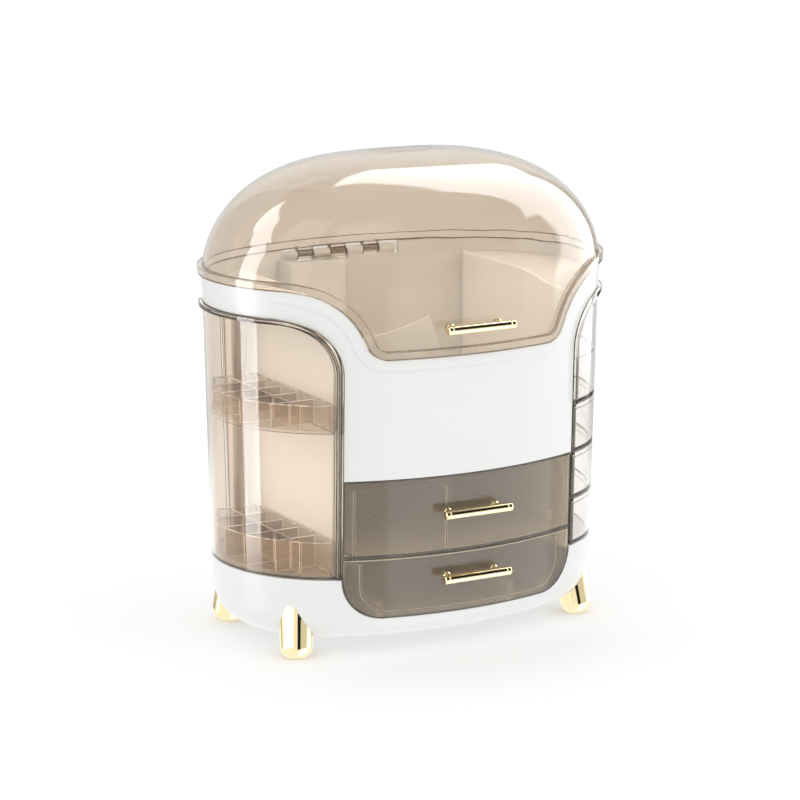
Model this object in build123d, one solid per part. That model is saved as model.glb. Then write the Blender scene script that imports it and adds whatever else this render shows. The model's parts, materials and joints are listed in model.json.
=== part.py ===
"""Oval makeup organizer: lidded top well, two drawers, a swing-out rack and four swing-out trays."""
from build123d import *
import os
from math import acos, asin, atan2, cos, degrees, pi, radians, sin, sqrt, tan

# All sizes are in millimetres. X runs to the right, -Y to the front, +Z up, and the feet stand on Z = 0.

# Plan of the body at the rim of the base: an oval of four tangent arcs
BODY_WIDTH = 303.0
BODY_DEPTH = 203.0
END_RADIUS = 90.0
WALL_DRAFT = 1.2

# Base bowl
UNDERSIDE_Z = 12.0
RIM_Z = 60.5
BASE_WALL = 3.0
BASE_DRAFT = 4.0
BASE_ROUND = 24.0
DECK_THICKNESS = 3.0
DECK_LAP = 4.0

# Feet
FOOT_SIDE_INSET = 29.6
FOOT_DEPTH_INSET = 43.4
FOOT_TOP_RADIUS = 13.4
FOOT_TIP_RADIUS = 11.6
FOOT_TIP_ROUND = 8.5
FOOT_TILT = 12.5
FOOT_HEADING = 60.6
FOOT_LENGTH = 52.0
FOOT_BOSS_RADIUS = 7.0
FOOT_BOSS_HEIGHT = 13.0
FOOT_SCREW_RADIUS = 2.0
FOOT_SCREW_HEAD_RADIUS = 4.0
FOOT_SCREW_HEAD_HEIGHT = 2.6
FOOT_SCREW_DEPTH = 16.0

# White column
FRONT_HALF_WIDTH = 96.5
PANEL_THICKNESS = 3.0
PARTITION_THICKNESS = 2.5
APRON_BOTTOM_Z = 134.2
BAND_TOP_Z = 272.3
SHELF_THICKNESS = 2.5
SHELF_TOP_Z = 76.0
WELL_FLOOR_Z = 137.5
WING_TOP_Z = 262.5
WING_SLOPE_BACK = 0.0
WING_SLOPE_FRONT = -76.0
WING_EDGE_RISE = 0.7
WING_BOSS_RADIUS = 5.0
BAND_LIP_HEIGHT = 8.0
BAND_LIP_PROUD = 0.8

# Scoop in the front of the column, which the lid's front skirt fills
SCOOP_Z = 222.0
SCOOP_FLAT_INSET = 30.5
SCOOP_LOW_RADIUS = 17.0
SCOOP_HIGH_RADIUS = 56.0
SCOOP_SLOPE = 66.0

# Side bays
BAY_EDGE_GAP = 1.1
BAY_BOTTOM_Z = 61.5
BAY_TOP_Z = 251.8
BAY_CORNER_RADIUS = 40.0
BAY_WALL = 2.5
BAY_LIP_WIDTH = 3.2
BAY_LIP_PROUD = 3.2
BAY_RIB_DEPTH = 3.0
BAY_LIP_END_GAP = 21.6
PIVOT_INSET = 7.5
PIVOT_BEYOND = 12.32
BARREL_INSET = 0.3
BARREL_WALL = 2.0
BARREL_END = 5.0
PIVOT_ROD_RADIUS = 2.0

# Racks on the swing-out door
RACK_BACK_GAP = 15.6
RACK_WALL = 1.6
RACK_FLOOR = 2.0
RACK_SIDE_GAP = 1.0
UPPER_RACK_Z = 169.0
UPPER_RACK_HEIGHT = 21.0
LOWER_RACK_Z = 62.0
LOWER_RACK_HEIGHT = 26.5
GRID_THICKNESS = 1.4
GRID_LONG_X = 120.0
GRID_FIRST_GAP = 21.5
GRID_PITCH = 26.0
GRID_CROSS_COUNT = 4
GRID_DROP = 1.0

# Swing-out trays on the right
TRAY_SEAMS_Z = (97.2, 133.1, 170.3)
TRAY_CORNER_RADIUS = 4.0
TRAY_FLOOR = 2.2
TRAY_INNER_HEIGHT = 34.0
TRAY_LIP_PROUD = 1.0

# Drawers
UPPER_FRONT_Z = (76.6, 133.5)
LOWER_FRONT_Z = (30.4, 75.6)
U_RADIUS = 30.0
DRAWER_FRONT_CORNER = 1.5
DRAWER_WALL = 2.0
UPPER_BOX_SIDE_GAP = 8.0
UPPER_BOX_HEIGHT = 50.0
LOWER_BOX_SIDE_GAP = 12.5
LOWER_BOX_FLOOR_Z = 33.0
LOWER_BOX_TOP_Z = 71.0
LOWER_BOX_ROUND = 22.0
DRAWER_BACK_GAP = 12.9
RUNNER_SETBACK = 6.0
DRAWER_DIVIDER_X = -18.0
DRAWER_DIVIDER_HEIGHT = 46.0
RUNNER_HEIGHT = 9.0
LOWER_RUNNER_X = 53.0
LOWER_RUNNER_WIDTH = 6.0

# Bar handles
BAR_RADIUS = 3.3
BAR_LENGTH = 56.0
BAR_CHAMFER = 0.8
BAR_STANDOFF = 9.6
POST_RADIUS = 2.4
POST_HALF_SPACING = 20.0
HANDLE_SCREW_RADIUS = 1.25
HANDLE_SCREW_HEAD_RADIUS = 2.6
HANDLE_SCREW_HEAD_HEIGHT = 1.6
HANDLE_SCREW_REACH = 5.0
LID_HANDLE_RISE = 21.0
UPPER_HANDLE_Z = 106.7
LOWER_HANDLE_Z = 58.2

# Lid
LID_TOP_Z = 358.3
LID_WALL = 2.5
DOME_WIDTH_POWERS = (1.863, 2.933)
DOME_DEPTH_POWERS = (2.733, 2.131)
DOME_SECTIONS = 11
DOME_CROWN = 0.998
RIM_BEAD_HEIGHT = 6.0
RIM_BEAD_PROUD = 3.2

# Rear hinge of the lid, let into a notch of the band
HINGE_OFFSET = 3.5
HINGE_DROP = 5.6
KNUCKLE_RADIUS = 4.0
KNUCKLE_PITCH = 14.4
KNUCKLE_COUNT = 7
HINGE_PIN_RADIUS = 1.5
HINGE_EAR_INNER = 2.6
HINGE_EAR_OUTER = 2.2

# Divider and rear pocket of the top well
WELL_PLATE_THICKNESS = 1.6
DIVIDER_Y = -48.0
DIVIDER_LOW_Z = 230.1
DIVIDER_TIP_X = -5.0
DIVIDER_CURVE_SPAN = 61.0
DIVIDER_CURVE_RADIUS = 165.0
DIVIDER_END_SLOPE = 18.8
POCKET_LEFT_X = -55.8
POCKET_WIDTH = 48.4
POCKET_DEPTH = 27.5
POCKET_TOP_Z = 266.0
POCKET_CORNER = 2.4

# Clearances
PANEL_GAP = 0.8
SEAM_GAP = 0.8
LID_GAP = 0.4
SEAT_GAP = 0.3
SLIDE_GAP = 0.4
RUNNING_GAP = 0.05
SWING_GAP = 0.7
KNUCKLE_GAP = 0.6

FAR = 400.0
SIDES = (-1, 1)

BAY_EDGE = FRONT_HALF_WIDTH + BAY_EDGE_GAP
RACK_INNER_X = BAY_EDGE + RACK_SIDE_GAP
LID_HANDLE_Z = SCOOP_Z + LID_HANDLE_RISE
HINGE_Y = BODY_DEPTH / 2 + HINGE_OFFSET
HINGE_Z = BAND_TOP_Z - HINGE_DROP


def grow(z):
    """Outward offset of the drafted wall at height z."""
    return (z - RIM_Z) * tan(radians(WALL_DRAFT))


def oval_data(offset=0.0):
    """Arc centres and radii of the plan oval: end centre, long centre, end radius, long radius."""
    end_centre = BODY_WIDTH / 2 - END_RADIUS
    half_depth = BODY_DEPTH / 2
    long_radius = (end_centre ** 2 + half_depth ** 2 - END_RADIUS ** 2) / (2 * (half_depth - END_RADIUS))
    long_centre = long_radius - half_depth
    return end_centre, long_centre, END_RADIUS + offset, long_radius + offset


def arc_oval(end_centre, long_centre, end_radius, long_radius):
    """Oval face on Z = 0 from two end arcs and two long arcs."""
    turn = degrees(atan2(long_centre, end_centre))
    right = CenterArc((end_centre, 0), end_radius, -turn, 2 * turn)
    rear = CenterArc((0, -long_centre), long_radius, turn, 180 - 2 * turn)
    left = CenterArc((-end_centre, 0), end_radius, 180 - turn, 2 * turn)
    front = CenterArc((0, long_centre), long_radius, 180 + turn, 180 - 2 * turn)
    return make_face([right, rear, left, front])


def oval(offset=0.0):
    """Plan oval grown by an offset, as a face on Z = 0."""
    return arc_oval(*oval_data(offset))


def wall_y(x, z, offset=0.0):
    """Distance of the drafted wall from the middle plane at a given x and z."""
    end_centre, long_centre, end_radius, long_radius = oval_data(grow(z) + offset)
    on_long = sqrt(long_radius ** 2 - x ** 2) - long_centre
    beyond = abs(x) * long_centre > (on_long + long_centre) * end_centre
    return sqrt(end_radius ** 2 - (abs(x) - end_centre) ** 2) if beyond else on_long


def drafted(offset, z_low, z_high):
    """Solid oval body between two heights, with the draft of the wall."""
    start = oval(offset + grow(z_low))
    return Pos(0, 0, z_low) * extrude(start, amount=z_high - z_low, taper=-WALL_DRAFT)


def shell(outer, inner, z_low, z_high):
    """Drafted wall between two offsets."""
    return drafted(outer, z_low, z_high) - drafted(inner, z_low, z_high)


def block(x_low, x_high, y_low, y_high, z_low, z_high):
    """Box between two corners."""
    centre = Pos((x_low + x_high) / 2, (y_low + y_high) / 2, (z_low + z_high) / 2)
    return centre * Box(abs(x_high - x_low), abs(y_high - y_low), abs(z_high - z_low))


def outline(points):
    """Face from a list of points; a point given with a third value starts an arc through that middle."""
    edges = []
    for here, there in zip(points, points[1:] + points[:1]):
        start, end = here[:2], there[:2]
        edges.append(ThreePointArc(start, here[2], end) if len(here) == 3 else Line(start, end))
    return make_face(edges)


def arc_middle(centre, radius, angle):
    """Point on a circle at an angle in degrees."""
    return (centre[0] + radius * cos(radians(angle)), centre[1] + radius * sin(radians(angle)))


def front_prism(face):
    """Front elevation outline run from the middle plane out through the front."""
    return extrude(Plane.XZ * face, amount=FAR)


def mirrored(face_points, side):
    """Front elevation points on the chosen side of the middle."""
    flipped = []
    for point in face_points:
        moved = (side * point[0], point[1])
        flipped.append(moved + ((side * point[2][0], point[2][1]),) if len(point) == 3 else moved)
    return flipped


def above_scoop(drop=0.0):
    """Everything above the column's top edge, whose front dips into the scoop."""
    low_z, side_z = SCOOP_Z - drop, BAND_TOP_Z - drop
    low_radius, high_radius = SCOOP_LOW_RADIUS + drop, SCOOP_HIGH_RADIUS - drop
    slope = radians(SCOOP_SLOPE)
    straight_rise = (BAND_TOP_Z - SCOOP_Z) - (SCOOP_LOW_RADIUS + SCOOP_HIGH_RADIUS) * (1 - cos(slope))
    flat_half = FRONT_HALF_WIDTH - SCOOP_FLAT_INSET
    low_centre = (flat_half, low_z + low_radius)
    high_x = (flat_half + (SCOOP_LOW_RADIUS + SCOOP_HIGH_RADIUS) * sin(slope)
              + straight_rise / tan(slope))
    high_centre = (high_x, side_z - high_radius)
    low_start = (flat_half, low_z)
    low_end = arc_middle(low_centre, low_radius, SCOOP_SLOPE - 90)
    high_start = arc_middle(high_centre, high_radius, 90 + SCOOP_SLOPE)
    high_end = (high_x, side_z)
    low_mid = arc_middle(low_centre, low_radius, SCOOP_SLOPE / 2 - 90)
    high_mid = arc_middle(high_centre, high_radius, 90 + SCOOP_SLOPE / 2)

    def left(point):
        return (-point[0], point[1])

    points = [
        (*low_start, low_mid), low_end, (*high_start, high_mid), high_end,
        (FAR, side_z), (FAR, FAR), (-FAR, FAR), (-FAR, side_z),
        (*left(high_end), left(high_mid)), left(high_start), (*left(low_end), left(low_mid)), left(low_start),
    ]
    return front_prism(outline(points)) + block(-FAR, FAR, 0, FAR, side_z, FAR)


def bay_space(side, grown=0.0, low_z=BAY_BOTTOM_Z, high_z=BAY_TOP_Z, corner=BAY_CORNER_RADIUS):
    """Space of a side bay: a front outline with a round upper corner, and a plain rear half."""
    edge, top, radius = BAY_EDGE - grown, high_z + grown, corner + grown
    centre = (edge + radius, top - radius)
    points = [
        (edge, low_z), (edge, top - radius, arc_middle(centre, radius, 135)), (edge + radius, top),
        (FAR, top), (FAR, low_z),
    ]
    rear = block(side * edge, side * FAR, 0, FAR, low_z, top)
    return front_prism(outline(mirrored(points, side))) + rear


def pivot_heading():
    """Angle in degrees of the radial plane through a side bay's pivot, seen from the end arc's centre."""
    return degrees(acos((FRONT_HALF_WIDTH + PIVOT_BEYOND - oval_data()[0]) / (END_RADIUS - PIVOT_INSET)))


def pivot_point(side):
    """Plan position of a side bay's pivot."""
    reach = END_RADIUS - PIVOT_INSET
    return side * (FRONT_HALF_WIDTH + PIVOT_BEYOND), reach * sin(radians(pivot_heading()))


def bay_plan(side, z_low, z_high):
    """Plan sector of a side bay, from its front edge round to the radial plane through its pivot."""
    end_centre = oval_data()[0]
    heading = radians(pivot_heading())
    ray = (end_centre + FAR * cos(heading), FAR * sin(heading))
    points = [(end_centre, 0), ray, (2 * FAR, ray[1]), (2 * FAR, -FAR), (BAY_EDGE, -FAR), (BAY_EDGE, 0)]
    face = outline([(side * x, y) for x, y in points])
    return Pos(0, 0, z_low) * extrude(face, amount=z_high - z_low)


def rear_plan(z_low, z_high):
    """Plan sector behind the radial planes through both pivots."""
    end_centre = oval_data()[0]
    heading = radians(pivot_heading())
    ray = (end_centre + FAR * cos(heading), FAR * sin(heading))
    face = outline([(end_centre, 0), ray, (-ray[0], ray[1]), (-end_centre, 0)])
    return Pos(0, 0, z_low) * extrude(face, amount=z_high - z_low)


def upright(x, y, radius, z_low, z_high):
    """Vertical cylinder."""
    return Pos(x, y, (z_low + z_high) / 2) * Cylinder(radius, z_high - z_low)


def cross_bar(x_low, x_high, y, z, radius):
    """Cylinder along X."""
    return Pos((x_low + x_high) / 2, y, z) * Rot(0, 90, 0) * Cylinder(radius, x_high - x_low)


def front_bar(x, y_low, y_high, z, radius):
    """Cylinder along Y."""
    return Pos(x, (y_low + y_high) / 2, z) * Rot(90, 0, 0) * Cylinder(radius, y_high - y_low)


def bowl(inset=0.0):
    """Solid of the base bowl, or of the hollow inside it."""
    height = RIM_Z - UNDERSIDE_Z - inset
    body = extrude(oval(-inset), amount=height, taper=BASE_DRAFT)
    body = fillet(body.faces().sort_by(Axis.Z)[-1].edges(), BASE_ROUND - inset)
    return Pos(0, 0, RIM_Z) * Rot(180, 0, 0) * body


def u_outline(grown=0.0, z_high=LOWER_FRONT_Z[1]):
    """Front outline of the lower drawer's front, with its two large lower corners."""
    half, low, radius = FRONT_HALF_WIDTH + grown, LOWER_FRONT_Z[0] - grown, U_RADIUS + grown
    right, left = (half - radius, low + radius), (radius - half, low + radius)
    points = [
        (-half, z_high), (-half, low + radius, arc_middle(left, radius, 225)), (radius - half, low),
        (half - radius, low, arc_middle(right, radius, 315)), (half, low + radius), (half, z_high),
    ]
    return outline(points)


def foot_frame(x_side, y_side):
    """Place of a foot: its axis leans outwards from the point where it stands."""
    heading = atan2(y_side * sin(radians(FOOT_HEADING)), x_side * cos(radians(FOOT_HEADING)))
    lean = radians(FOOT_TILT)
    axis = (-sin(lean) * cos(heading), -sin(lean) * sin(heading), cos(lean))
    origin = (x_side * (BODY_WIDTH / 2 - FOOT_SIDE_INSET), y_side * (BODY_DEPTH / 2 - FOOT_DEPTH_INSET), 0)
    return Plane(origin=origin, z_dir=axis)


def foot_screw_seat():
    """Distance along a foot's axis from its tip to the seat of its screw's head."""
    return FOOT_LENGTH - FOOT_BOSS_HEIGHT


def make_foot(x_side, y_side, bowl_solid):
    """Tapered round-tipped foot, cut on top by the bowl it is screwed to."""
    drop = FOOT_TIP_RADIUS * sin(radians(FOOT_TILT))
    core = Cone(FOOT_TIP_RADIUS, FOOT_TOP_RADIUS, FOOT_LENGTH, align=(Align.CENTER, Align.CENTER, Align.MIN))
    core = fillet(core.edges().sort_by(Axis.Z)[0], FOOT_TIP_ROUND)
    foot = foot_frame(x_side, y_side) * Pos(0, 0, -drop / 4) * core
    foot = foot - bowl_solid - block(-FAR, FAR, -FAR, FAR, -FAR, 0)
    return foot - foot_screw_hole(x_side, y_side)


def foot_screw_hole(x_side, y_side):
    """Hole for a foot's screw, through the bowl's boss and into the foot."""
    seat = foot_screw_seat()
    hole = Cylinder(FOOT_SCREW_RADIUS + RUNNING_GAP, FOOT_SCREW_DEPTH + 1,
                    align=(Align.CENTER, Align.CENTER, Align.MAX))
    return foot_frame(x_side, y_side) * Pos(0, 0, seat + 1) * hole


def make_foot_screw(x_side, y_side):
    """Pan head screw that holds a foot from inside the bowl."""
    seat = foot_screw_seat()
    head = Cylinder(FOOT_SCREW_HEAD_RADIUS, FOOT_SCREW_HEAD_HEIGHT, align=(Align.CENTER, Align.CENTER, Align.MIN))
    shank = Cylinder(FOOT_SCREW_RADIUS, FOOT_SCREW_DEPTH, align=(Align.CENTER, Align.CENTER, Align.MAX))
    return foot_frame(x_side, y_side) * Pos(0, 0, seat) * (head + shank)


def make_base_bowl():
    """White bowl with the U cut-out of the lower drawer and a screw boss over each foot."""
    outer = bowl()
    body = outer - bowl(BASE_WALL)
    for x_side in SIDES:
        for y_side in SIDES:
            boss = Cylinder(FOOT_BOSS_RADIUS, foot_screw_seat(), align=(Align.CENTER, Align.CENTER, Align.MIN))
            body = body + (foot_frame(x_side, y_side) * boss & outer)
    for x_side in SIDES:
        for y_side in SIDES:
            body = body - foot_screw_hole(x_side, y_side)
    return body - front_prism(u_outline(PANEL_GAP, RIM_Z + 1))


def make_base_deck(side):
    """Floor of a side bay, let into the bowl's rim."""
    low = RIM_Z - DECK_THICKNESS
    deck = Pos(0, 0, low) * extrude(oval(-BASE_WALL - SEAT_GAP), amount=DECK_THICKNESS)
    edge = FRONT_HALF_WIDTH - PARTITION_THICKNESS - DECK_LAP
    deck = deck & block(side * edge, side * FAR, -FAR, FAR, low, RIM_Z)
    deck = deck - front_prism(u_outline(PANEL_GAP, RIM_Z + 1))
    return deck - pivot_hole(side)


def pivot_hole(side):
    """Bore of a pivot, run through everything."""
    x, y = pivot_point(side)
    return upright(x, y, PIVOT_ROD_RADIUS + RUNNING_GAP, 0, FAR)


def pivot_sweep(side, z_low, z_high, inward=PIVOT_INSET):
    """Room behind a pivot where a side bay's wall comes to rest when it is open: a wedge that follows the draft."""
    x, y = pivot_point(side)
    heading = pivot_heading() if side > 0 else 180 - pivot_heading()
    reach = PIVOT_INSET + SWING_GAP
    low_end, high_end = side * (reach + grow(z_low)), side * (reach + grow(z_high))
    face = outline([(0, z_low), (low_end, z_low), (high_end, z_high), (0, z_high)])
    wedge = extrude(Plane.YZ * face, amount=4 * PIVOT_INSET)
    return Pos(x, y, 0) * Rot(0, 0, heading) * Pos(-inward, 0, 0) * wedge


def pivot_barrel(side, z_low, z_high):
    """Rolled rear edge of a bay piece: a tube that follows the draft, with a bored boss at each end."""
    x, y = pivot_point(side)
    reach = PIVOT_INSET - BARREL_INSET
    height = z_high - z_low
    tube = Cone(reach + grow(z_low), reach + grow(z_high), height)
    inner_low, inner_high = z_low + BARREL_END, z_high - BARREL_END
    core = Cone(reach - BARREL_WALL + grow(inner_low), reach - BARREL_WALL + grow(inner_high), inner_high - inner_low)
    return Pos(x, y, (z_low + z_high) / 2) * (tube - core)


def make_rear_wall():
    """White wall behind the drawers and the well, round to both pivots."""
    low, high = RIM_Z, BAY_TOP_Z + PANEL_GAP
    wall = shell(0, -PANEL_THICKNESS, low, high) & rear_plan(low, high)
    for side in SIDES:
        wall = wall - pivot_sweep(side, low, high)
    return wall


def s_curve(back, high, front, low):
    """Outline points of two equal arcs that leave a high level and settle on a low one, from back to front."""
    span, drop = (back - front) / 2, (high - low) / 2
    radius = (span ** 2 + drop ** 2) / (2 * drop)
    half_turn = asin(span / radius) / 2
    run, sag = radius * sin(half_turn), radius * (1 - cos(half_turn))
    return [(back, high, (back - run, high - sag)), (back - span, high - drop, (front + run, low + sag)), (front, low)]


def wing_front_z():
    """Level of the wing decks at the front, one deck's thickness above the bays."""
    return BAY_TOP_Z + PANEL_GAP + SHELF_THICKNESS


def below_wing(rise=0.0):
    """Everything under the wing decks' upper surface, raised by a step."""
    curve = s_curve(WING_SLOPE_BACK, WING_TOP_Z + rise, WING_SLOPE_FRONT, wing_front_z() + rise)
    points = [(FAR, WING_TOP_Z + rise)] + curve + [(-FAR, wing_front_z() + rise), (-FAR, 0), (FAR, 0)]
    return Pos(-FAR, 0, 0) * extrude(Plane.YZ * outline(points), amount=2 * FAR)


def housing_radius():
    """Outer radius of a partition's round rear end, which wraps the side bay's pivot."""
    return PIVOT_BEYOND + PARTITION_THICKNESS


def make_partition(side):
    """White wall between the drawers and a side bay; it ends in a round housing behind the bay's pivot."""
    top = WING_TOP_Z + WING_EDGE_RISE
    x, y = pivot_point(side)
    inner_x = FRONT_HALF_WIDTH - PARTITION_THICKNESS
    plate = block(side * inner_x, side * FRONT_HALF_WIDTH, -FAR, y, RIM_Z, top)
    housing = upright(x, y, housing_radius(), RIM_Z, top) - upright(x, y, PIVOT_BEYOND, RIM_Z, top)
    housing = housing & block(0, x, y, FAR, RIM_Z, top)
    wall = (plate + housing) & drafted(-PANEL_THICKNESS - SEAT_GAP, RIM_Z, top)
    wall = wall - pivot_sweep(side, RIM_Z, BAY_TOP_Z + PANEL_GAP, 0)
    return wall & below_wing(WING_EDGE_RISE)


def column_room(gap, z_low, z_high):
    """Room between the partitions, which widens behind their round rear ends."""
    half = FRONT_HALF_WIDTH - PARTITION_THICKNESS - gap
    x, y = pivot_point(1)
    room = block(-half, half, -FAR, FAR, z_low, z_high) + block(-x, x, y, FAR, z_low, z_high)
    for side in SIDES:
        room = room - upright(side * x, y, housing_radius() + gap, z_low, z_high)
    return room


def make_upper_frame():
    """White apron and top band in one moulding, with the fixed knuckles of the lid's hinge."""
    wall = shell(0, -PANEL_THICKNESS, APRON_BOTTOM_Z, BAND_TOP_Z)
    lip = shell(BAND_LIP_PROUD, -1, APRON_BOTTOM_Z, BAND_TOP_Z) & above_scoop(BAND_LIP_HEIGHT)
    frame = (wall + lip) - above_scoop()
    frame = frame - block(-FAR, FAR, 0, FAR, 0, BAY_TOP_Z + PANEL_GAP)
    for side in SIDES:
        frame = frame - bay_space(side, PANEL_GAP, 0)
    return frame - hinge_notch() + hinge_ears(False) - hinge_bore()


def make_wing_deck(side):
    """Roof of a side bay and floor of the shallow wing above it; it falls to the front in an S curve."""
    low = BAY_TOP_Z + PANEL_GAP
    x, y = pivot_point(side)
    plan = block(side * (FRONT_HALF_WIDTH + RUNNING_GAP), side * FAR, -FAR, y, low, WING_TOP_Z)
    plan = plan + upright(x, y, PIVOT_BEYOND - RUNNING_GAP, low, WING_TOP_Z)
    sheet = (plan & below_wing()) - (below_wing(-SHELF_THICKNESS) & block(-FAR, FAR, -FAR, FAR, low, FAR))
    boss = upright(x, y, WING_BOSS_RADIUS, low, WING_TOP_Z)
    deck = (sheet + boss) & drafted(-PANEL_THICKNESS - SEAT_GAP, low, WING_TOP_Z)
    return deck - (pivot_hole(side) & block(-FAR, FAR, -FAR, FAR, 0, pivot_top_z() + SEAT_GAP))


def make_shelf(z_top, front_gap):
    """Level plate between the partitions, from the front to the rear wall."""
    low = z_top - SHELF_THICKNESS
    return drafted(-PANEL_THICKNESS - front_gap, low, z_top) & column_room(RUNNING_GAP, low, z_top)


def drawer_back_y():
    """Rear face of both drawers' boxes."""
    return wall_y(FRONT_HALF_WIDTH, RIM_Z) - DRAWER_BACK_GAP


def make_drawer_runners():
    """Guide strips: a pair beside the upper drawer and a pair under the lower one."""
    strips = []
    outer = FRONT_HALF_WIDTH - PARTITION_THICKNESS - RUNNING_GAP
    end = drawer_back_y() - RUNNER_SETBACK
    for side in SIDES:
        x_low, x_high = side * (FRONT_HALF_WIDTH - UPPER_BOX_SIDE_GAP + SLIDE_GAP), side * outer
        strips.append(block(x_low, x_high, -end, end, SHELF_TOP_Z, SHELF_TOP_Z + RUNNER_HEIGHT))
        x_low, x_high = side * LOWER_RUNNER_X, side * (LOWER_RUNNER_X + LOWER_RUNNER_WIDTH)
        strips.append(block(x_low, x_high, -end, end, UNDERSIDE_Z + BASE_WALL, LOWER_BOX_FLOOR_Z - SEAT_GAP))
    return strips


def bay_shell(side, z_low, z_high, corner, lip_proud, lip_top):
    """Curved outer wall of a bay piece with its lip, front rib, rear web and pivot barrel."""
    space = bay_space(side, 0.0, z_low, z_high, corner)
    sector = bay_plan(side, z_low, z_high)
    lip_level = z_high if lip_top else z_high + 2 * BAY_LIP_WIDTH
    inner_space = bay_space(side, -BAY_LIP_WIDTH, z_low - FAR, lip_level, corner)
    wall = shell(0, -BAY_WALL, z_low, z_high)
    rim = shell(lip_proud, -BAY_WALL - BAY_RIB_DEPTH, z_low, z_high) - inner_space
    x, y = pivot_point(side)
    rim = rim & block(side * BAY_EDGE, side * FAR, -FAR, y - BAY_LIP_END_GAP, 0, FAR)
    body = (wall + rim) & space & sector
    core = upright(x, y, PIVOT_INSET - BARREL_INSET - BARREL_WALL, z_low + BARREL_END, z_high - BARREL_END)
    return body - core + pivot_barrel(side, z_low, z_high) - pivot_hole(side)


def rack_back_y():
    """Rear face of the racks and trays, in front of the pivots."""
    return pivot_point(1)[1] - RACK_BACK_GAP


def rack_space(side, inset, z_low, z_high):
    """Room of a rack along the bay's wall, from its rear face to the front rib, less an inset."""
    body = drafted(-BAY_WALL - SEAT_GAP - inset, z_low, z_high)
    limits = block(side * (RACK_INNER_X + inset), side * FAR, -FAR, rack_back_y() - inset, z_low, z_high)
    rib_side = BAY_EDGE + BAY_LIP_WIDTH + SEAT_GAP + inset
    beside_rib = block(0, side * rib_side, -FAR, 0, z_low, z_high)
    rib = beside_rib - drafted(-BAY_WALL - BAY_RIB_DEPTH - SEAT_GAP - inset, z_low, z_high)
    return (body & limits) - rib


def make_left_door():
    """Clear swing-out door on the left, from the base to the band."""
    return bay_shell(-1, BAY_BOTTOM_Z, BAY_TOP_Z, BAY_CORNER_RADIUS, BAY_LIP_PROUD, True)


def make_rack(z_low, height):
    """Shallow open rack inside the door."""
    z_high = z_low + height
    return rack_space(-1, 0, z_low, z_high) - rack_space(-1, RACK_WALL, z_low + RACK_FLOOR, z_high)


def make_grid(z_low, height):
    """Crossed plates that divide a rack into cells."""
    low, high = z_low + RACK_FLOOR, z_low + height - GRID_DROP
    half = GRID_THICKNESS / 2
    plates = block(-GRID_LONG_X - half, -GRID_LONG_X + half, -FAR, FAR, low, high)
    for index in range(GRID_CROSS_COUNT):
        y = rack_back_y() - GRID_FIRST_GAP - index * GRID_PITCH
        plates = plates + block(-FAR, -BAY_EDGE, y - half, y + half, low, high)
    return plates & rack_space(-1, RACK_WALL + RUNNING_GAP, low, high)


def make_tray(index):
    """Swing-out tray on the right, counted from the bottom."""
    levels = (BAY_BOTTOM_Z,) + TRAY_SEAMS_Z + (BAY_TOP_Z,)
    is_top = index == len(TRAY_SEAMS_Z)
    z_low = levels[index] + (SEAM_GAP / 2 if index else 0)
    z_high = levels[index + 1] - (0 if is_top else SEAM_GAP / 2)
    corner = BAY_CORNER_RADIUS if is_top else TRAY_CORNER_RADIUS
    proud = BAY_LIP_PROUD if is_top else TRAY_LIP_PROUD
    outer = bay_shell(1, z_low, z_high, corner, proud, is_top)
    wall_high = min(z_high - TRAY_CORNER_RADIUS, z_low + TRAY_INNER_HEIGHT)
    back = rack_back_y()
    space = drafted(-BAY_WALL / 2, z_low, z_high) & block(RACK_INNER_X, FAR, -FAR, back, z_low, wall_high)
    hollow = drafted(-BAY_WALL - SEAT_GAP, z_low, z_high) & block(
        RACK_INNER_X + RACK_WALL, FAR, -FAR, back - RACK_WALL, z_low + TRAY_FLOOR, z_high)
    hollow = hollow - (drafted(0, z_low, z_high) - drafted(-BAY_WALL - BAY_RIB_DEPTH, z_low, z_high)
                       & block(0, BAY_EDGE + BAY_LIP_WIDTH, -FAR, FAR, 0, FAR))
    floor = space - hollow
    return outer + floor


def pivot_top_z():
    """Upper end of the pivot rods, blind inside the wing decks."""
    return WING_TOP_Z - SHELF_THICKNESS


def make_pivot_rod(side):
    """Steel rod on which a side bay's pieces turn."""
    x, y = pivot_point(side)
    return upright(x, y, PIVOT_ROD_RADIUS, RIM_Z - DECK_THICKNESS, pivot_top_z())


def handle_holes(z):
    """Two screw holes through a front at a handle's height."""
    reach = BODY_DEPTH
    holes = [front_bar(side * POST_HALF_SPACING, -reach, -reach / 3, z, HANDLE_SCREW_RADIUS + RUNNING_GAP)
             for side in SIDES]
    return holes[0] + holes[1]


def make_handle(z):
    """Round bar on two posts, whose feet follow the curved front."""
    surface = wall_y(0, z)
    bar_y = -surface - BAR_STANDOFF
    bar = Pos(0, bar_y, z) * Rot(0, 90, 0) * chamfer(Cylinder(BAR_RADIUS, BAR_LENGTH).edges(), BAR_CHAMFER)
    posts = [front_bar(side * POST_HALF_SPACING, bar_y, -surface / 2, z, POST_RADIUS) for side in SIDES]
    body = bar + posts[0] + posts[1] - drafted(RUNNING_GAP, z - BODY_DEPTH / 4, z + BODY_DEPTH / 4)
    depth = HANDLE_SCREW_REACH + RUNNING_GAP
    for side in SIDES:
        face_y = -wall_y(POST_HALF_SPACING, z)
        radius = HANDLE_SCREW_RADIUS + RUNNING_GAP
        body = body - front_bar(side * POST_HALF_SPACING, face_y - depth, face_y + POST_RADIUS, z, radius)
    return body


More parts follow.
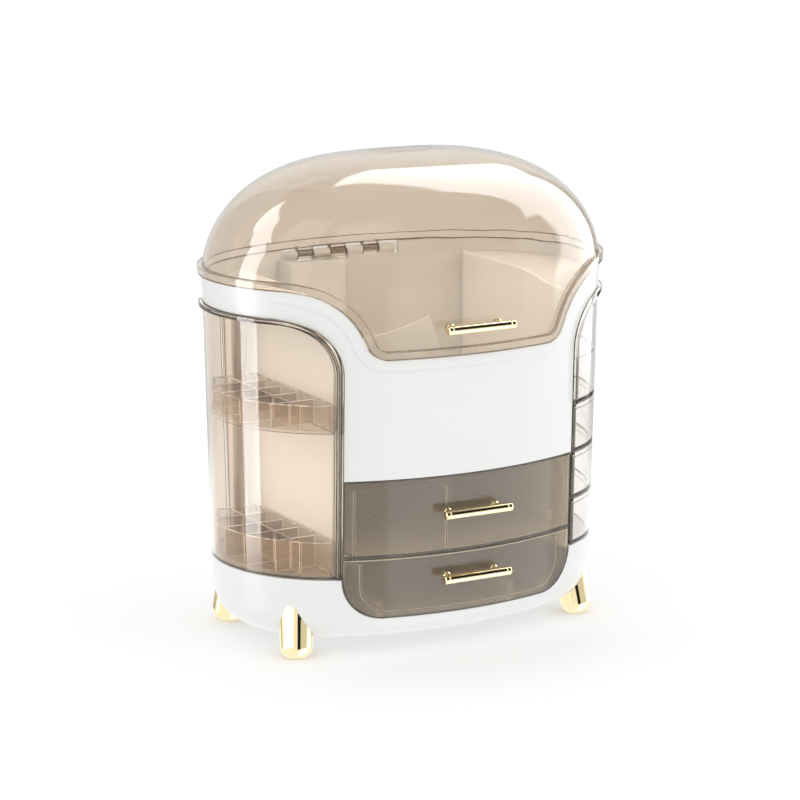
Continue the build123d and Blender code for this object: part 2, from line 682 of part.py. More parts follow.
def make_handle_screws(z, wall):
    """Two pan head screws that hold a handle from behind the front."""
    screws = []
    for side in SIDES:
        x = side * POST_HALF_SPACING
        face_y = -wall_y(POST_HALF_SPACING, z)
        seat_y = -wall_y(POST_HALF_SPACING + HANDLE_SCREW_HEAD_RADIUS, z, -wall) + SEAT_GAP / 2
        shank = front_bar(x, face_y - HANDLE_SCREW_REACH, seat_y, z, HANDLE_SCREW_RADIUS)
        head = front_bar(x, seat_y, seat_y + HANDLE_SCREW_HEAD_HEIGHT, z, HANDLE_SCREW_HEAD_RADIUS)
        screws.append(shank + head)
    return screws


def make_upper_front():
    """Smoky curved front of the upper drawer."""
    low, high = UPPER_FRONT_Z
    half, radius = FRONT_HALF_WIDTH, DRAWER_FRONT_CORNER
    face = Pos(0, (low + high) / 2) * RectangleRounded(2 * half, high - low, radius)
    front = shell(0, -PANEL_THICKNESS, low - 1, high + 1) & front_prism(face)
    return front - handle_holes(UPPER_HANDLE_Z)


def make_lower_front():
    """Smoky curved front of the lower drawer, whose lower corners follow the bowl's cut-out."""
    low, high = LOWER_FRONT_Z
    front = shell(0, -PANEL_THICKNESS, low - 1, high + 1) & front_prism(u_outline())
    return front - handle_holes(LOWER_HANDLE_Z)


def make_upper_box():
    """Open box of the upper drawer behind its front."""
    low = SHELF_TOP_Z + SEAT_GAP
    high = low + UPPER_BOX_HEIGHT
    half, wall, back = FRONT_HALF_WIDTH - UPPER_BOX_SIDE_GAP, DRAWER_WALL, drawer_back_y()
    box = block(-half, half, -FAR, back, low, high)
    hollow = block(wall - half, half - wall, -FAR, back - wall, low + wall, high)
    return (box - hollow) & drafted(-PANEL_THICKNESS - RUNNING_GAP, low, high)


def make_lower_box():
    """Open box of the lower drawer, with large lower edges that clear the bowl's cut-out."""
    low, high = LOWER_BOX_FLOOR_Z, LOWER_BOX_TOP_Z
    half, wall, length = FRONT_HALF_WIDTH - LOWER_BOX_SIDE_GAP, DRAWER_WALL, BODY_DEPTH
    rear = drawer_back_y()

    def trough(inset, back):
        span = 2 * (half - inset)
        height = high - low - inset + LOWER_BOX_ROUND
        face = Pos(0, low + inset + height / 2) * RectangleRounded(span, height, LOWER_BOX_ROUND - inset)
        run = Pos(0, back, 0) * extrude(Plane.XZ * face, amount=length)
        return run & block(-FAR, FAR, -FAR, FAR, low, high)

    box = trough(0, rear) - trough(wall, rear - wall)
    return box & drafted(-PANEL_THICKNESS - RUNNING_GAP, low, high)


def make_drawer_divider():
    """Plate that splits the upper drawer from front to back."""
    low = SHELF_TOP_Z + SEAT_GAP + DRAWER_WALL
    half = DRAWER_WALL / 2
    plate = block(DRAWER_DIVIDER_X - half, DRAWER_DIVIDER_X + half, -FAR, drawer_back_y() - DRAWER_WALL, low,
                  low + DRAWER_DIVIDER_HEIGHT)
    front = -PANEL_THICKNESS - HANDLE_SCREW_HEAD_HEIGHT - PANEL_GAP
    return plate & drafted(front, low, low + DRAWER_DIVIDER_HEIGHT)


def crown_oval(half_width, half_depth, end_share):
    """Oval face of a given half width and half depth, whose end arcs keep their share of the depth."""
    end_radius = half_depth * end_share
    end_centre = half_width - end_radius
    long_radius = (end_centre ** 2 + half_depth ** 2 - end_radius ** 2) / (2 * (half_depth - end_radius))
    return arc_oval(end_centre, long_radius - half_depth, end_radius, long_radius)


def dome(inset):
    """Crowned solid above the band, lofted through ovals that draw in faster along X than along Y."""
    offset = grow(BAND_TOP_Z) - inset
    half_width, half_depth = BODY_WIDTH / 2 + offset, BODY_DEPTH / 2 + offset
    end_share = (END_RADIUS + offset) / half_depth
    height = LID_TOP_Z - inset - BAND_TOP_Z
    sections = []
    for index in range(DOME_SECTIONS):
        rise = sin(index / (DOME_SECTIONS - 1) * pi / 2) * DOME_CROWN
        width = half_width * (1 - rise ** DOME_WIDTH_POWERS[0]) ** (1 / DOME_WIDTH_POWERS[1])
        depth = half_depth * (1 - rise ** DOME_DEPTH_POWERS[0]) ** (1 / DOME_DEPTH_POWERS[1])
        sections.append(Pos(0, 0, BAND_TOP_Z + height * rise) * crown_oval(width, depth, end_share))
    return loft(sections)


def hinge_limits(moving):
    """Low and high x of each knuckle that belongs to the lid or to the band."""
    start = -KNUCKLE_PITCH * KNUCKLE_COUNT / 2
    first = 1 if moving else 0
    return [(start + KNUCKLE_PITCH * index + KNUCKLE_GAP / 2, start + KNUCKLE_PITCH * (index + 1) - KNUCKLE_GAP / 2)
            for index in range(first, KNUCKLE_COUNT, 2)]


def hinge_notch():
    """Notch in the rear of the band that takes the hinge."""
    half = KNUCKLE_PITCH * KNUCKLE_COUNT / 2 + KNUCKLE_GAP
    return block(-half, half, 0, FAR, HINGE_Z - KNUCKLE_RADIUS - KNUCKLE_GAP, FAR)


def hinge_ears(moving):
    """Knuckles with the ears that join them to the lid above or to the band below."""
    reach = HINGE_DROP + 2 * LID_GAP if moving else -KNUCKLE_RADIUS - 2 * KNUCKLE_GAP
    low, high = sorted((HINGE_Z, HINGE_Z + reach))
    inner, outer = HINGE_Y - HINGE_EAR_INNER, HINGE_Y + HINGE_EAR_OUTER
    face = outline([(inner, low), (outer, low), (outer, high), (inner, high)])
    face = face + Pos(HINGE_Y, HINGE_Z) * Circle(KNUCKLE_RADIUS)
    ears = None
    for low_x, high_x in hinge_limits(moving):
        ear = Pos(low_x, 0, 0) * extrude(Plane.YZ * face, amount=high_x - low_x)
        ears = ear if ears is None else ears + ear
    return ears


def hinge_bore():
    """Bore of the lid's hinge pin."""
    reach = KNUCKLE_PITCH * KNUCKLE_COUNT
    return cross_bar(-reach, reach, HINGE_Y, HINGE_Z, HINGE_PIN_RADIUS + RUNNING_GAP)


def make_hinge_pin():
    """Steel pin through the knuckles of the lid's hinge."""
    half = KNUCKLE_PITCH * KNUCKLE_COUNT / 2
    return cross_bar(-half, half, HINGE_Y, HINGE_Z, HINGE_PIN_RADIUS)


def bead_top_z():
    """Upper edge of the bead round the lid."""
    return BAND_TOP_Z + RIM_BEAD_HEIGHT + LID_GAP


def make_lid():
    """Clear domed lid with a front skirt that fills the scoop, a bead round its edge and hinge knuckles."""
    skirt_low = SCOOP_Z - 2 * RIM_BEAD_HEIGHT
    skirt = shell(0, -LID_WALL, skirt_low, BAND_TOP_Z)
    body = skirt + (dome(0) - dome(LID_WALL))
    bead_high = bead_top_z()
    bead = shell(RIM_BEAD_PROUD, -LID_WALL / 2, skirt_low, bead_high) - above_scoop(-LID_GAP - RIM_BEAD_HEIGHT)
    body = (body + bead) & above_scoop(-LID_GAP)
    return body + hinge_ears(True) - hinge_bore() - handle_holes(LID_HANDLE_Z)


def make_well_divider():
    """White plate across the left of the well: its top edge sweeps up to a tip and its free end slopes."""
    half = WELL_PLATE_THICKNESS / 2
    left = PARTITION_THICKNESS + SEAT_GAP - FRONT_HALF_WIDTH
    turn = asin(DIVIDER_CURVE_SPAN / DIVIDER_CURVE_RADIUS)
    start_x = DIVIDER_TIP_X - DIVIDER_CURVE_SPAN
    middle = (start_x + DIVIDER_CURVE_RADIUS * sin(turn / 2),
              DIVIDER_LOW_Z + DIVIDER_CURVE_RADIUS * (1 - cos(turn / 2)))
    tip_z = DIVIDER_LOW_Z + DIVIDER_CURVE_RADIUS * (1 - cos(turn))
    foot_x = DIVIDER_TIP_X + (tip_z - WELL_FLOOR_Z) * tan(radians(DIVIDER_END_SLOPE))
    points = [
        (left, WELL_FLOOR_Z), (left, DIVIDER_LOW_Z), (start_x, DIVIDER_LOW_Z, middle), (DIVIDER_TIP_X, tip_z),
        (foot_x, WELL_FLOOR_Z),
    ]
    return front_prism(outline(points)) & block(-FAR, FAR, DIVIDER_Y - half, DIVIDER_Y + half, 0, FAR)


def make_rear_pocket():
    """White three-sided pocket against the rear wall of the well, open at the top."""
    height = POCKET_TOP_Z - WELL_FLOOR_Z
    centre = Pos(POCKET_LEFT_X + POCKET_WIDTH / 2, BODY_DEPTH / 2, WELL_FLOOR_Z)
    wall = WELL_PLATE_THICKNESS
    outer = RectangleRounded(POCKET_WIDTH, 2 * POCKET_DEPTH, POCKET_CORNER)
    inner = RectangleRounded(POCKET_WIDTH - 2 * wall, 2 * (POCKET_DEPTH - wall), POCKET_CORNER - wall)
    pocket = centre * extrude(outer - inner, amount=height)
    reach = KNUCKLE_RADIUS + KNUCKLE_GAP
    hinge_room = block(-FAR, FAR, HINGE_Y - reach, FAR, HINGE_Z - reach, FAR)
    return pocket & drafted(-PANEL_THICKNESS - SEAT_GAP, WELL_FLOOR_Z, POCKET_TOP_Z) - hinge_room


def build():
    """Every piece by the name of its node; a node of several equal pieces is a list."""
    bowl_solid = bowl()
    parts = {
        "base_bowl": make_base_bowl(),
        "rear_wall": make_rear_wall(),
        "upper_frame": make_upper_frame(),
        "drawer_shelf": make_shelf(SHELF_TOP_Z, SLIDE_GAP),
        "well_floor": make_shelf(WELL_FLOOR_Z, SEAT_GAP),
        "drawer_runners": make_drawer_runners(),
        "lid_hinge_pin": make_hinge_pin(),
        "lid_dome": make_lid(),
        "lid_handle": make_handle(LID_HANDLE_Z),
        "lid_handle_screws": make_handle_screws(LID_HANDLE_Z, LID_WALL),
        "left_door_shell": make_left_door(),
        "left_upper_rack": make_rack(UPPER_RACK_Z, UPPER_RACK_HEIGHT),
        "left_upper_grid": make_grid(UPPER_RACK_Z, UPPER_RACK_HEIGHT),
        "left_lower_rack": make_rack(LOWER_RACK_Z, LOWER_RACK_HEIGHT),
        "left_lower_grid": make_grid(LOWER_RACK_Z, LOWER_RACK_HEIGHT),
        "upper_drawer_front": make_upper_front(),
        "upper_drawer_box": make_upper_box(),
        "upper_drawer_divider": make_drawer_divider(),
        "upper_drawer_handle": make_handle(UPPER_HANDLE_Z),
        "upper_handle_screws": make_handle_screws(UPPER_HANDLE_Z, PANEL_THICKNESS),
        "lower_drawer_front": make_lower_front(),
        "lower_drawer_box": make_lower_box(),
        "lower_drawer_handle": make_handle(LOWER_HANDLE_Z),
        "lower_handle_screws": make_handle_screws(LOWER_HANDLE_Z, PANEL_THICKNESS),
        "well_divider": make_well_divider(),
        "well_rear_pocket": make_rear_pocket(),
    }
    tray_names = ("bottom", "lower", "upper", "top")
    for index, name in enumerate(tray_names):
        parts[f"right_tray_{name}"] = make_tray(index)
    for side, name in zip(SIDES, ("left", "right")):
        parts[f"base_deck_{name}"] = make_base_deck(side)
        parts[f"wing_deck_{name}"] = make_wing_deck(side)
        parts[f"partition_{name}"] = make_partition(side)
        parts[f"pivot_rod_{name}"] = make_pivot_rod(side)
        for depth_side, depth_name in zip(SIDES, ("front", "rear")):
            parts[f"foot_{depth_name}_{name}"] = make_foot(side, depth_side, bowl_solid)
    parts["foot_screws"] = [make_foot_screw(x_side, y_side) for x_side in SIDES for y_side in SIDES]
    return parts


def box_shift():
    """Move along Y that puts the origin under the middle of the overall box, from the handle to the lid's bead."""
    front = wall_y(0, LID_HANDLE_Z) + BAR_STANDOFF + BAR_RADIUS
    rear = max(wall_y(0, bead_top_z(), RIM_BEAD_PROUD), HINGE_Y + KNUCKLE_RADIUS)
    return (front - rear) / 2


os.makedirs("parts", exist_ok=True)
place = Pos(0, box_shift(), 0)
for node, made in build().items():
    if isinstance(made, list):
        export_step(Compound(children=[place * piece for piece in made]), f"parts/{node}.step")
    else:
        export_step(place * made, f"parts/{node}.step")
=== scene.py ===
"""Studio scene of the oval makeup organizer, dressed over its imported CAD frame."""

import json
import logging
import math
from dataclasses import dataclass, field
from enum import Enum, IntEnum

import bmesh
import bpy
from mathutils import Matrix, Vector
from mathutils.bvhtree import BVHTree
from mathutils.geometry import barycentric_transform


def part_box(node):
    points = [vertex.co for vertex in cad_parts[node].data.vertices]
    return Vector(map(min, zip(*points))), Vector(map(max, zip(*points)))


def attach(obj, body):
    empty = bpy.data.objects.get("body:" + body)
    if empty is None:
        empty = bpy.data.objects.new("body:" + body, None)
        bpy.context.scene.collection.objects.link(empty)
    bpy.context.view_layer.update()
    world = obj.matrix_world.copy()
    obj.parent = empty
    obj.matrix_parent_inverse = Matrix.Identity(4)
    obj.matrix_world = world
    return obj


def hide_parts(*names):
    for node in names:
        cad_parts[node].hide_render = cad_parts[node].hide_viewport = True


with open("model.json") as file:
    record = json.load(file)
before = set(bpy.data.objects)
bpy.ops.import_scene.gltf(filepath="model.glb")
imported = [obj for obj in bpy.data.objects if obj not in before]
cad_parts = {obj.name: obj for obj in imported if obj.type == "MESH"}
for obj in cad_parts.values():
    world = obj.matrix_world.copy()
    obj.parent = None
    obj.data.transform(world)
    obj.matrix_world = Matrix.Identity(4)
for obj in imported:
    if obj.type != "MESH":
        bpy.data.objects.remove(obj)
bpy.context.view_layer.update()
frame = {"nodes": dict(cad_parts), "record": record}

LOG = logging.getLogger("organizer")
SLOTS = {part["node"]: part["material_slot"] for part in frame["record"]["subparts"]}

Colour = tuple[float, float, float]
Point = tuple[float, float, float]
Span = tuple[float, float]
Socket = bpy.types.NodeSocket

WHITE_IOR = 1.5
CLEAR_IOR = 1.49
# Most of a noise texture's factors lie in this span
NOISE_SPAN: Span = (0.3, 0.7)


class Shade(Enum):
    """The finishes that the organizer is made in, and the painted light, shade, highlights and dark
    reflections among them, by the name of their material.
    """

    WHITE = "white_plastic"
    LINER_PAINTED_LIGHT = "inner_white_painted_light"
    WELL_PAINTED_SHADE = "well_white_painted_shade"
    LID = "tea_lid"
    LID_PAINTED_EDGE = "lid_painted_edge"
    TEA = "tea_clear"
    TEA_PAINTED_EDGE = "tea_painted_edge"
    RACK = "rack_clear"
    RACK_PAINTED_HIGHLIGHT = "rack_painted_highlight"
    RACK_PAINTED_GLINTS = "rack_painted_glints"
    RACK_FOOT_PAINTED_DARK = "rack_foot_painted_dark"
    PALE = "pale_clear"
    PALE_PAINTED_EDGE = "pale_painted_edge"
    SMOKE = "smoke_clear"
    SMOKE_BOX_PAINTED_LIGHT = "smoke_box_painted_light"
    SMOKE_PAINTED_EDGE = "smoke_painted_edge"
    SMOKE_RIM_PAINTED_HIGHLIGHT = "smoke_rim_painted_highlight"
    GOLD = "polished_gold"
    STEEL = "plain_steel"


class NodeKit:
    """Shorthand for one material's node tree."""

    def __init__(self, name: str) -> None:
        """Start an empty tree with an output.

        Args:
            name: Name of the material.
        """
        self.material = bpy.data.materials.new(name)
        self.material.use_nodes = True
        self.tree = self.material.node_tree
        self.tree.nodes.clear()
        self.output = self.tree.nodes.new("ShaderNodeOutputMaterial")

    def add(self, kind: str, **settings: object) -> bpy.types.Node:
        """Add a node.

        Args:
            kind: Type name of the node after ShaderNode.
            **settings: Properties of the node.

        Returns:
            The new node.
        """
        node = self.tree.nodes.new("ShaderNode" + kind)
        for key, value in settings.items():
            setattr(node, key, value)
        return node

    def join(self, source: Socket, target: Socket) -> None:
        """Link one socket to another."""
        self.tree.links.new(source, target)

    def noise(self, scale: float, detail: float = 3.0, rough: float = 0.5,
              stretch: Point = (1.0, 1.0, 1.0)) -> Socket:
        """Noise over the piece's own coordinates.

        Args:
            scale: Cells to the metre.
            detail: Octaves.
            rough: Roughness of the octaves.
            stretch: Scale of each axis.

        Returns:
            The factor socket.
        """
        place = self.add("TexCoord")
        turn = self.add("Mapping")
        turn.inputs["Scale"].default_value = stretch
        noise = self.add("TexNoise")
        noise.inputs["Scale"].default_value = scale
        noise.inputs["Detail"].default_value = detail
        noise.inputs["Roughness"].default_value = rough
        self.join(place.outputs["Object"], turn.inputs["Vector"])
        self.join(turn.outputs["Vector"], noise.inputs["Vector"])
        return noise.outputs["Fac"]

    def spread(self, source: Socket, low: float, high: float) -> Socket:
        """Map a noise factor to a range.

        Args:
            source: Factor socket of a noise.
            low: Value at the low end of NOISE_SPAN and below it.
            high: Value at its high end and above it.

        Returns:
            The mapped socket.
        """
        node = self.add("MapRange")
        node.inputs["From Min"].default_value = NOISE_SPAN[0]
        node.inputs["From Max"].default_value = NOISE_SPAN[1]
        node.inputs["To Min"].default_value = low
        node.inputs["To Max"].default_value = high
        self.join(source, node.inputs["Value"])
        return node.outputs["Result"]

    def blend(self, factor: Socket, first: Colour, second: Colour) -> Socket:
        """Mix two colours by a factor.

        Args:
            factor: Socket from 0 to 1.
            first: Colour at 0.
            second: Colour at 1.

        Returns:
            The colour socket.
        """
        node = self.add("Mix", data_type="RGBA")
        node.inputs["A"].default_value = (*first, 1.0)
        node.inputs["B"].default_value = (*second, 1.0)
        self.join(factor, node.inputs["Factor"])
        return node.outputs["Result"]

    def patches(self, skin: bpy.types.Node, noise: Socket, first: Colour, second: Colour) -> None:
        """Colour a shader in soft patches, the first colour where the noise is low."""
        colour = self.blend(self.spread(noise, 0.0, 1.0), first, second)
        self.join(colour, skin.inputs["Base Color"])

    def bump(self, height: Socket, strength: float, distance: float) -> Socket:
        """Bump from a height.

        Args:
            height: Socket of the height.
            strength: Share of the effect.
            distance: Depth in metres.

        Returns:
            The normal socket.
        """
        node = self.add("Bump")
        node.inputs["Strength"].default_value = strength
        node.inputs["Distance"].default_value = distance
        self.join(height, node.inputs["Height"])
        return node.outputs["Normal"]

    def finish(self, surface: Socket) -> bpy.types.Material:
        """Lead a shader to the output and hand over the finished material."""
        self.join(surface, self.output.inputs["Surface"])
        return self.material


@dataclass(frozen=True)
class MouldedWhite:
    """Glossy opaque plastic, a little uneven from the mould.

    Attributes:
        colour: Main colour.
        cast: Colour of the slightly greyer patches.
        gloss: Low and high roughness.
        patch: Patches to the metre.
        grain: Cells of the fine grain to the metre.
        depth: Depth of the grain in metres.
    """

    colour: Colour = (0.775, 0.779, 0.768)
    cast: Colour = (0.767, 0.772, 0.763)
    gloss: Span = (0.285, 0.315)
    patch: float = 6.0
    grain: float = 900.0
    depth: float = 0.00006

    def material(self, shade: Shade) -> bpy.types.Material:
        """Build the material.

        Args:
            shade: Finish that it is for.

        Returns:
            The material.
        """
        kit = NodeKit(shade.value)
        skin = kit.add("BsdfPrincipled")
        cloud = kit.noise(self.patch, detail=1.0, rough=0.4)
        grain = kit.noise(self.grain, detail=2.0)
        kit.patches(skin, cloud, self.colour, self.cast)
        kit.join(kit.spread(cloud, *self.gloss), skin.inputs["Roughness"])
        kit.join(kit.bump(grain, strength=0.1, distance=self.depth), skin.inputs["Normal"])
        skin.inputs["IOR"].default_value = WHITE_IOR
        return kit.finish(skin.outputs["BSDF"])


@dataclass(frozen=True)
class ClearPlastic:
    """Clear tinted plastic that bends light and lets lamps through to what stands behind it.

    Attributes:
        tint: Colour that one pass through a face keeps.
        second: The same in the slightly deeper or paler patches.
        shadow: Colour of its shadow, for each face.
        haze: Low and high roughness.
        clear: Share of the light that passes; the rest is scattered by the plastic's milkiness.
        waves: Slow waves left by the mould, to the metre.
        ripple: Depth of the waves in metres.
        dust: Cells of the haze to the metre.
    """

    tint: Colour
    second: Colour
    shadow: Colour
    haze: Span = (0.0, 0.006)
    clear: float = 1.0
    waves: float = 7.0
    ripple: float = 0.00004
    dust: float = 60.0

    def material(self, shade: Shade) -> bpy.types.Material:
        """Build the material.

        Args:
            shade: Finish that it is for.

        Returns:
            The material.
        """
        kit = NodeKit(shade.value)
        body = kit.add("BsdfPrincipled")
        flow = kit.noise(self.waves, detail=2.0, stretch=(1.0, 1.0, 0.6))
        dust = kit.noise(self.dust, rough=0.6)
        kit.patches(body, flow, self.tint, self.second)
        kit.join(kit.spread(dust, *self.haze), body.inputs["Roughness"])
        kit.join(kit.bump(flow, strength=0.5, distance=self.ripple), body.inputs["Normal"])
        body.inputs["Transmission Weight"].default_value = self.clear
        body.inputs["IOR"].default_value = CLEAR_IOR
        through = kit.add("BsdfTransparent")
        through.inputs["Color"].default_value = (*self.shadow, 1.0)
        path = kit.add("LightPath")
        mix = kit.add("MixShader")
        parts = (path.outputs["Is Shadow Ray"], body.outputs["BSDF"], through.outputs["BSDF"])
        for source, target in zip(parts, mix.inputs):
            kit.join(source, target)
        return kit.finish(mix.outputs["Shader"])


@dataclass(frozen=True)
class ThinPlastic:
    """Plastic that light passes straight through, for thin plates and for painted highlights and
    dark reflections along edges.

    Attributes:
        colour: Main colour.
        second: Colour of the other patches.
        cover: Share of what is behind that a face hides.
        patch: Patches to the metre.
        gloss: Low and high roughness.
    """

    colour: Colour
    second: Colour
    cover: float
    patch: float = 40.0
    gloss: Span = (0.05, 0.12)

    def material(self, shade: Shade) -> bpy.types.Material:
        """Build the material.

        Args:
            shade: Finish that it is for.

        Returns:
            The material.
        """
        kit = NodeKit(shade.value)
        skin = kit.add("BsdfPrincipled")
        flow = kit.noise(self.patch, detail=2.0)
        kit.patches(skin, flow, self.colour, self.second)
        kit.join(kit.spread(flow, *self.gloss), skin.inputs["Roughness"])
        skin.inputs["Alpha"].default_value = self.cover
        skin.inputs["IOR"].default_value = CLEAR_IOR
        return kit.finish(skin.outputs["BSDF"])


@dataclass(frozen=True)
class PlatedMetal:
    """Metal with faint polishing marks.

    Attributes:
        colour: Main colour.
        worn: Colour of the slightly paler patches.
        gloss: Low and high roughness.
        patch: Patches to the metre.
        grain: Cells of the polishing marks to the metre.
        depth: Depth of the marks in metres.
    """

    colour: Colour
    worn: Colour
    gloss: Span
    patch: float = 45.0
    grain: float = 240.0
    depth: float = 0.00004

    def material(self, shade: Shade) -> bpy.types.Material:
        """Build the material.

        Args:
            shade: Finish that it is for.

        Returns:
            The material.
        """
        kit = NodeKit(shade.value)
        skin = kit.add("BsdfPrincipled")
        patch = kit.noise(self.patch)
        marks = kit.noise(self.grain, rough=0.6, stretch=(1.0, 1.0, 6.0))
        kit.patches(skin, patch, self.colour, self.worn)
        kit.join(kit.spread(marks, *self.gloss), skin.inputs["Roughness"])
        kit.join(kit.bump(marks, strength=0.06, distance=self.depth), skin.inputs["Normal"])
        skin.inputs["Metallic"].default_value = 1.0
        return kit.finish(skin.outputs["BSDF"])


FINISHES = {
    Shade.WHITE: MouldedWhite(),
    # Brighter copy of the white plastic for the walls inside the column: painted light
    Shade.LINER_PAINTED_LIGHT: MouldedWhite((0.925, 0.92, 0.905), (0.91, 0.905, 0.89), (0.3, 0.4)),
    # Darker copy of the white plastic for the well: painted shade
    Shade.WELL_PAINTED_SHADE: MouldedWhite((0.78, 0.77, 0.75), (0.77, 0.76, 0.74), (0.3, 0.36)),
    # Darker than the door's tea plastic: partly the dome's own tint, partly painted shade that
    # darkens the well below
    Shade.LID: ClearPlastic((0.79, 0.715, 0.63), (0.78, 0.705, 0.62), (0.86, 0.83, 0.79)),
    # Dark films along the dome's edges: painted dark reflections at its rims
    Shade.LID_PAINTED_EDGE: ThinPlastic((0.16, 0.12, 0.08), (0.28, 0.22, 0.15), cover=0.6),
    Shade.TEA: ClearPlastic((0.90, 0.83, 0.75), (0.89, 0.82, 0.74), (0.985, 0.975, 0.955)),
    # Nearly black films along the door's edges: painted dark reflections
    Shade.TEA_PAINTED_EDGE: ThinPlastic((0.035, 0.028, 0.02), (0.07, 0.055, 0.04), cover=0.8),
    Shade.RACK: ThinPlastic((0.41, 0.285, 0.165), (0.39, 0.27, 0.155), cover=0.16),
    # Near-white films on the grids' roundings: painted highlights along their edges
    Shade.RACK_PAINTED_HIGHLIGHT: ThinPlastic((1.0, 0.94, 0.84), (0.97, 0.90, 0.79), cover=0.95),
    # Dark and bright specks on the troughs' roundings: painted glints and dark reflections
    Shade.RACK_PAINTED_GLINTS: ThinPlastic((0.16, 0.12, 0.08), (0.95, 0.86, 0.72), cover=0.85, patch=160.0),
    # Near-black specks on the roundings at the troughs' feet: painted dark reflections
    Shade.RACK_FOOT_PAINTED_DARK: ThinPlastic((0.02, 0.016, 0.012), (0.14, 0.11, 0.08), cover=0.95, patch=300.0),
    Shade.PALE: ClearPlastic((0.972, 0.95, 0.915), (0.98, 0.965, 0.94), (0.99, 0.98, 0.97)),
    # Dark films along the trays' edges: painted dark reflections
    Shade.PALE_PAINTED_EDGE: ThinPlastic((0.10, 0.085, 0.065), (0.20, 0.17, 0.13), cover=0.55),
    Shade.SMOKE: ClearPlastic((0.82, 0.72, 0.59), (0.81, 0.71, 0.58), (0.96, 0.945, 0.93),
                              clear=0.945),
    # Paler copy of the smoke plastic for the drawer boxes: painted light that brightens their
    # insides
    Shade.SMOKE_BOX_PAINTED_LIGHT: ClearPlastic((0.89, 0.83, 0.745), (0.88, 0.82, 0.735), (0.97, 0.96, 0.95),
                                  clear=0.98),
    # Nearly black films along the drawer fronts' edges: painted dark reflections
    Shade.SMOKE_PAINTED_EDGE: ThinPlastic((0.02, 0.016, 0.012), (0.045, 0.036, 0.028), cover=0.92),
    # Pale films on the drawer boxes' rounded rims: painted highlights
    Shade.SMOKE_RIM_PAINTED_HIGHLIGHT: ThinPlastic((0.86, 0.80, 0.72), (0.80, 0.74, 0.66), cover=0.45),
    Shade.GOLD: PlatedMetal((0.93, 0.765, 0.45), (0.95, 0.80, 0.50), gloss=(0.02, 0.05)),
    Shade.STEEL: PlatedMetal((0.80, 0.79, 0.77), (0.84, 0.83, 0.81), gloss=(0.40, 0.50)),
}


@dataclass
class FinishRack:
    """Makes each finish once and hands it out.

    Attributes:
        made: The materials made so far.
    """

    made: dict[Shade, bpy.types.Material] = field(default_factory=dict)

    def get(self, shade: Shade) -> bpy.types.Material:
        """The material of a finish.

        Args:
            shade: Finish that is wanted.

        Returns:
            The one material of that finish.
        """
        if shade not in self.made:
            self.made[shade] = FINISHES[shade].material(shade)
        return self.made[shade]

    def dress(self, piece: bpy.types.Object, *shades: Shade) -> None:
        """Give a piece its finishes, the main one first.

        Args:
            piece: Mesh object.
            *shades: Finishes in the order of the faces' numbers; the last one is for all beyond it.
        """
        last = len(shades) - 1
        numbers = [min(face.material_index, last) for face in piece.data.polygons]
        piece.data.materials.clear()
        for shade in shades:
            piece.data.materials.append(self.get(shade))
        piece.data.polygons.foreach_set("material_index", numbers)


@dataclass(frozen=True)
class SoftBox:
    """One bright or dark patch of the sky, by direction.

    Attributes:
        turn: Low and high azimuth in degrees, 0 in front and 90 to the right.
        rise: Low and high elevation in degrees.
        strength: Light that it adds; a negative one takes light away.
        soft: Half width of its soft edge in degrees.
        lean: Degrees that its sides move to the right for each degree of elevation.
    """

    turn: Span
    rise: Span
    strength: float
    soft: float = 2.0
    lean: float = 0.0


@dataclass(frozen=True)
class SkyPlan:
    """Light of the surroundings by direction.

    Attributes:
        base: Light where no box is.
        boxes: Patches that add to it or take from it.
    """

    base: float
    boxes: tuple[SoftBox, ...]


GLOSS_SKY = SkyPlan(0.14, (
    # Two windows to the right, one above the other
    SoftBox((68.0, 118.0), (-12.0, 30.0), 6.0, lean=0.25),
    SoftBox((35.0, 102.0), (30.0, 63.0), 6.0, lean=1.05),
    # Three narrow windows to the left, from low to high
    SoftBox((-117.0, -98.0), (-17.2, 28.0), 9.0, soft=1.2),
    SoftBox((-93.0, -70.0), (28.0, 36.0), 8.0, soft=1.2, lean=-1.0),
    SoftBox((-80.0, -45.0), (36.0, 53.0), 8.0, soft=1.2, lean=-1.5),
    # Pale walls to the left, and a glow high in front
    SoftBox((-97.0, -48.0), (-4.0, 66.0), 1.0),
    SoftBox((-135.0, -19.0), (-14.0, 24.0), 0.9),
    SoftBox((-34.0, 6.0), (38.0, 58.0), 1.3, soft=8.0),
    # Walls behind
    SoftBox((130.0, 190.0), (-14.0, 49.0), 0.6, soft=4.0),
    SoftBox((-190.0, -130.0), (-14.0, 49.0), 0.6, soft=4.0),
    SoftBox((105.0, 195.0), (14.0, 78.0), 0.35, soft=8.0),
    # The floor all round, brighter in front to the right
    SoftBox((-200.0, 200.0), (-100.0, -14.0), 1.0, soft=1.0),
    SoftBox((0.0, 66.0), (-80.0, -8.0), 1.0),
    # A low wall in front to the right, brighter at its end
    SoftBox((3.0, 68.0), (-14.0, 11.0), 0.6, soft=3.0),
    SoftBox((50.0, 68.0), (-14.0, 16.0), 0.6),
    # Two dark flags in front
    SoftBox((-19.0, 3.0), (-14.0, 24.0), -0.12),
    SoftBox((18.0, 52.0), (11.0, 56.0), -0.12),
))
# Dark flags to the right and to the left
CLEAR_SKY = SkyPlan(1.0, (
    SoftBox((60.0, 118.0), (-40.0, 50.0), -0.85, soft=5.0),
    SoftBox((-80.0, -20.0), (-40.0, 50.0), -0.65, soft=5.0),
))
DARKEST_SKY = 0.02


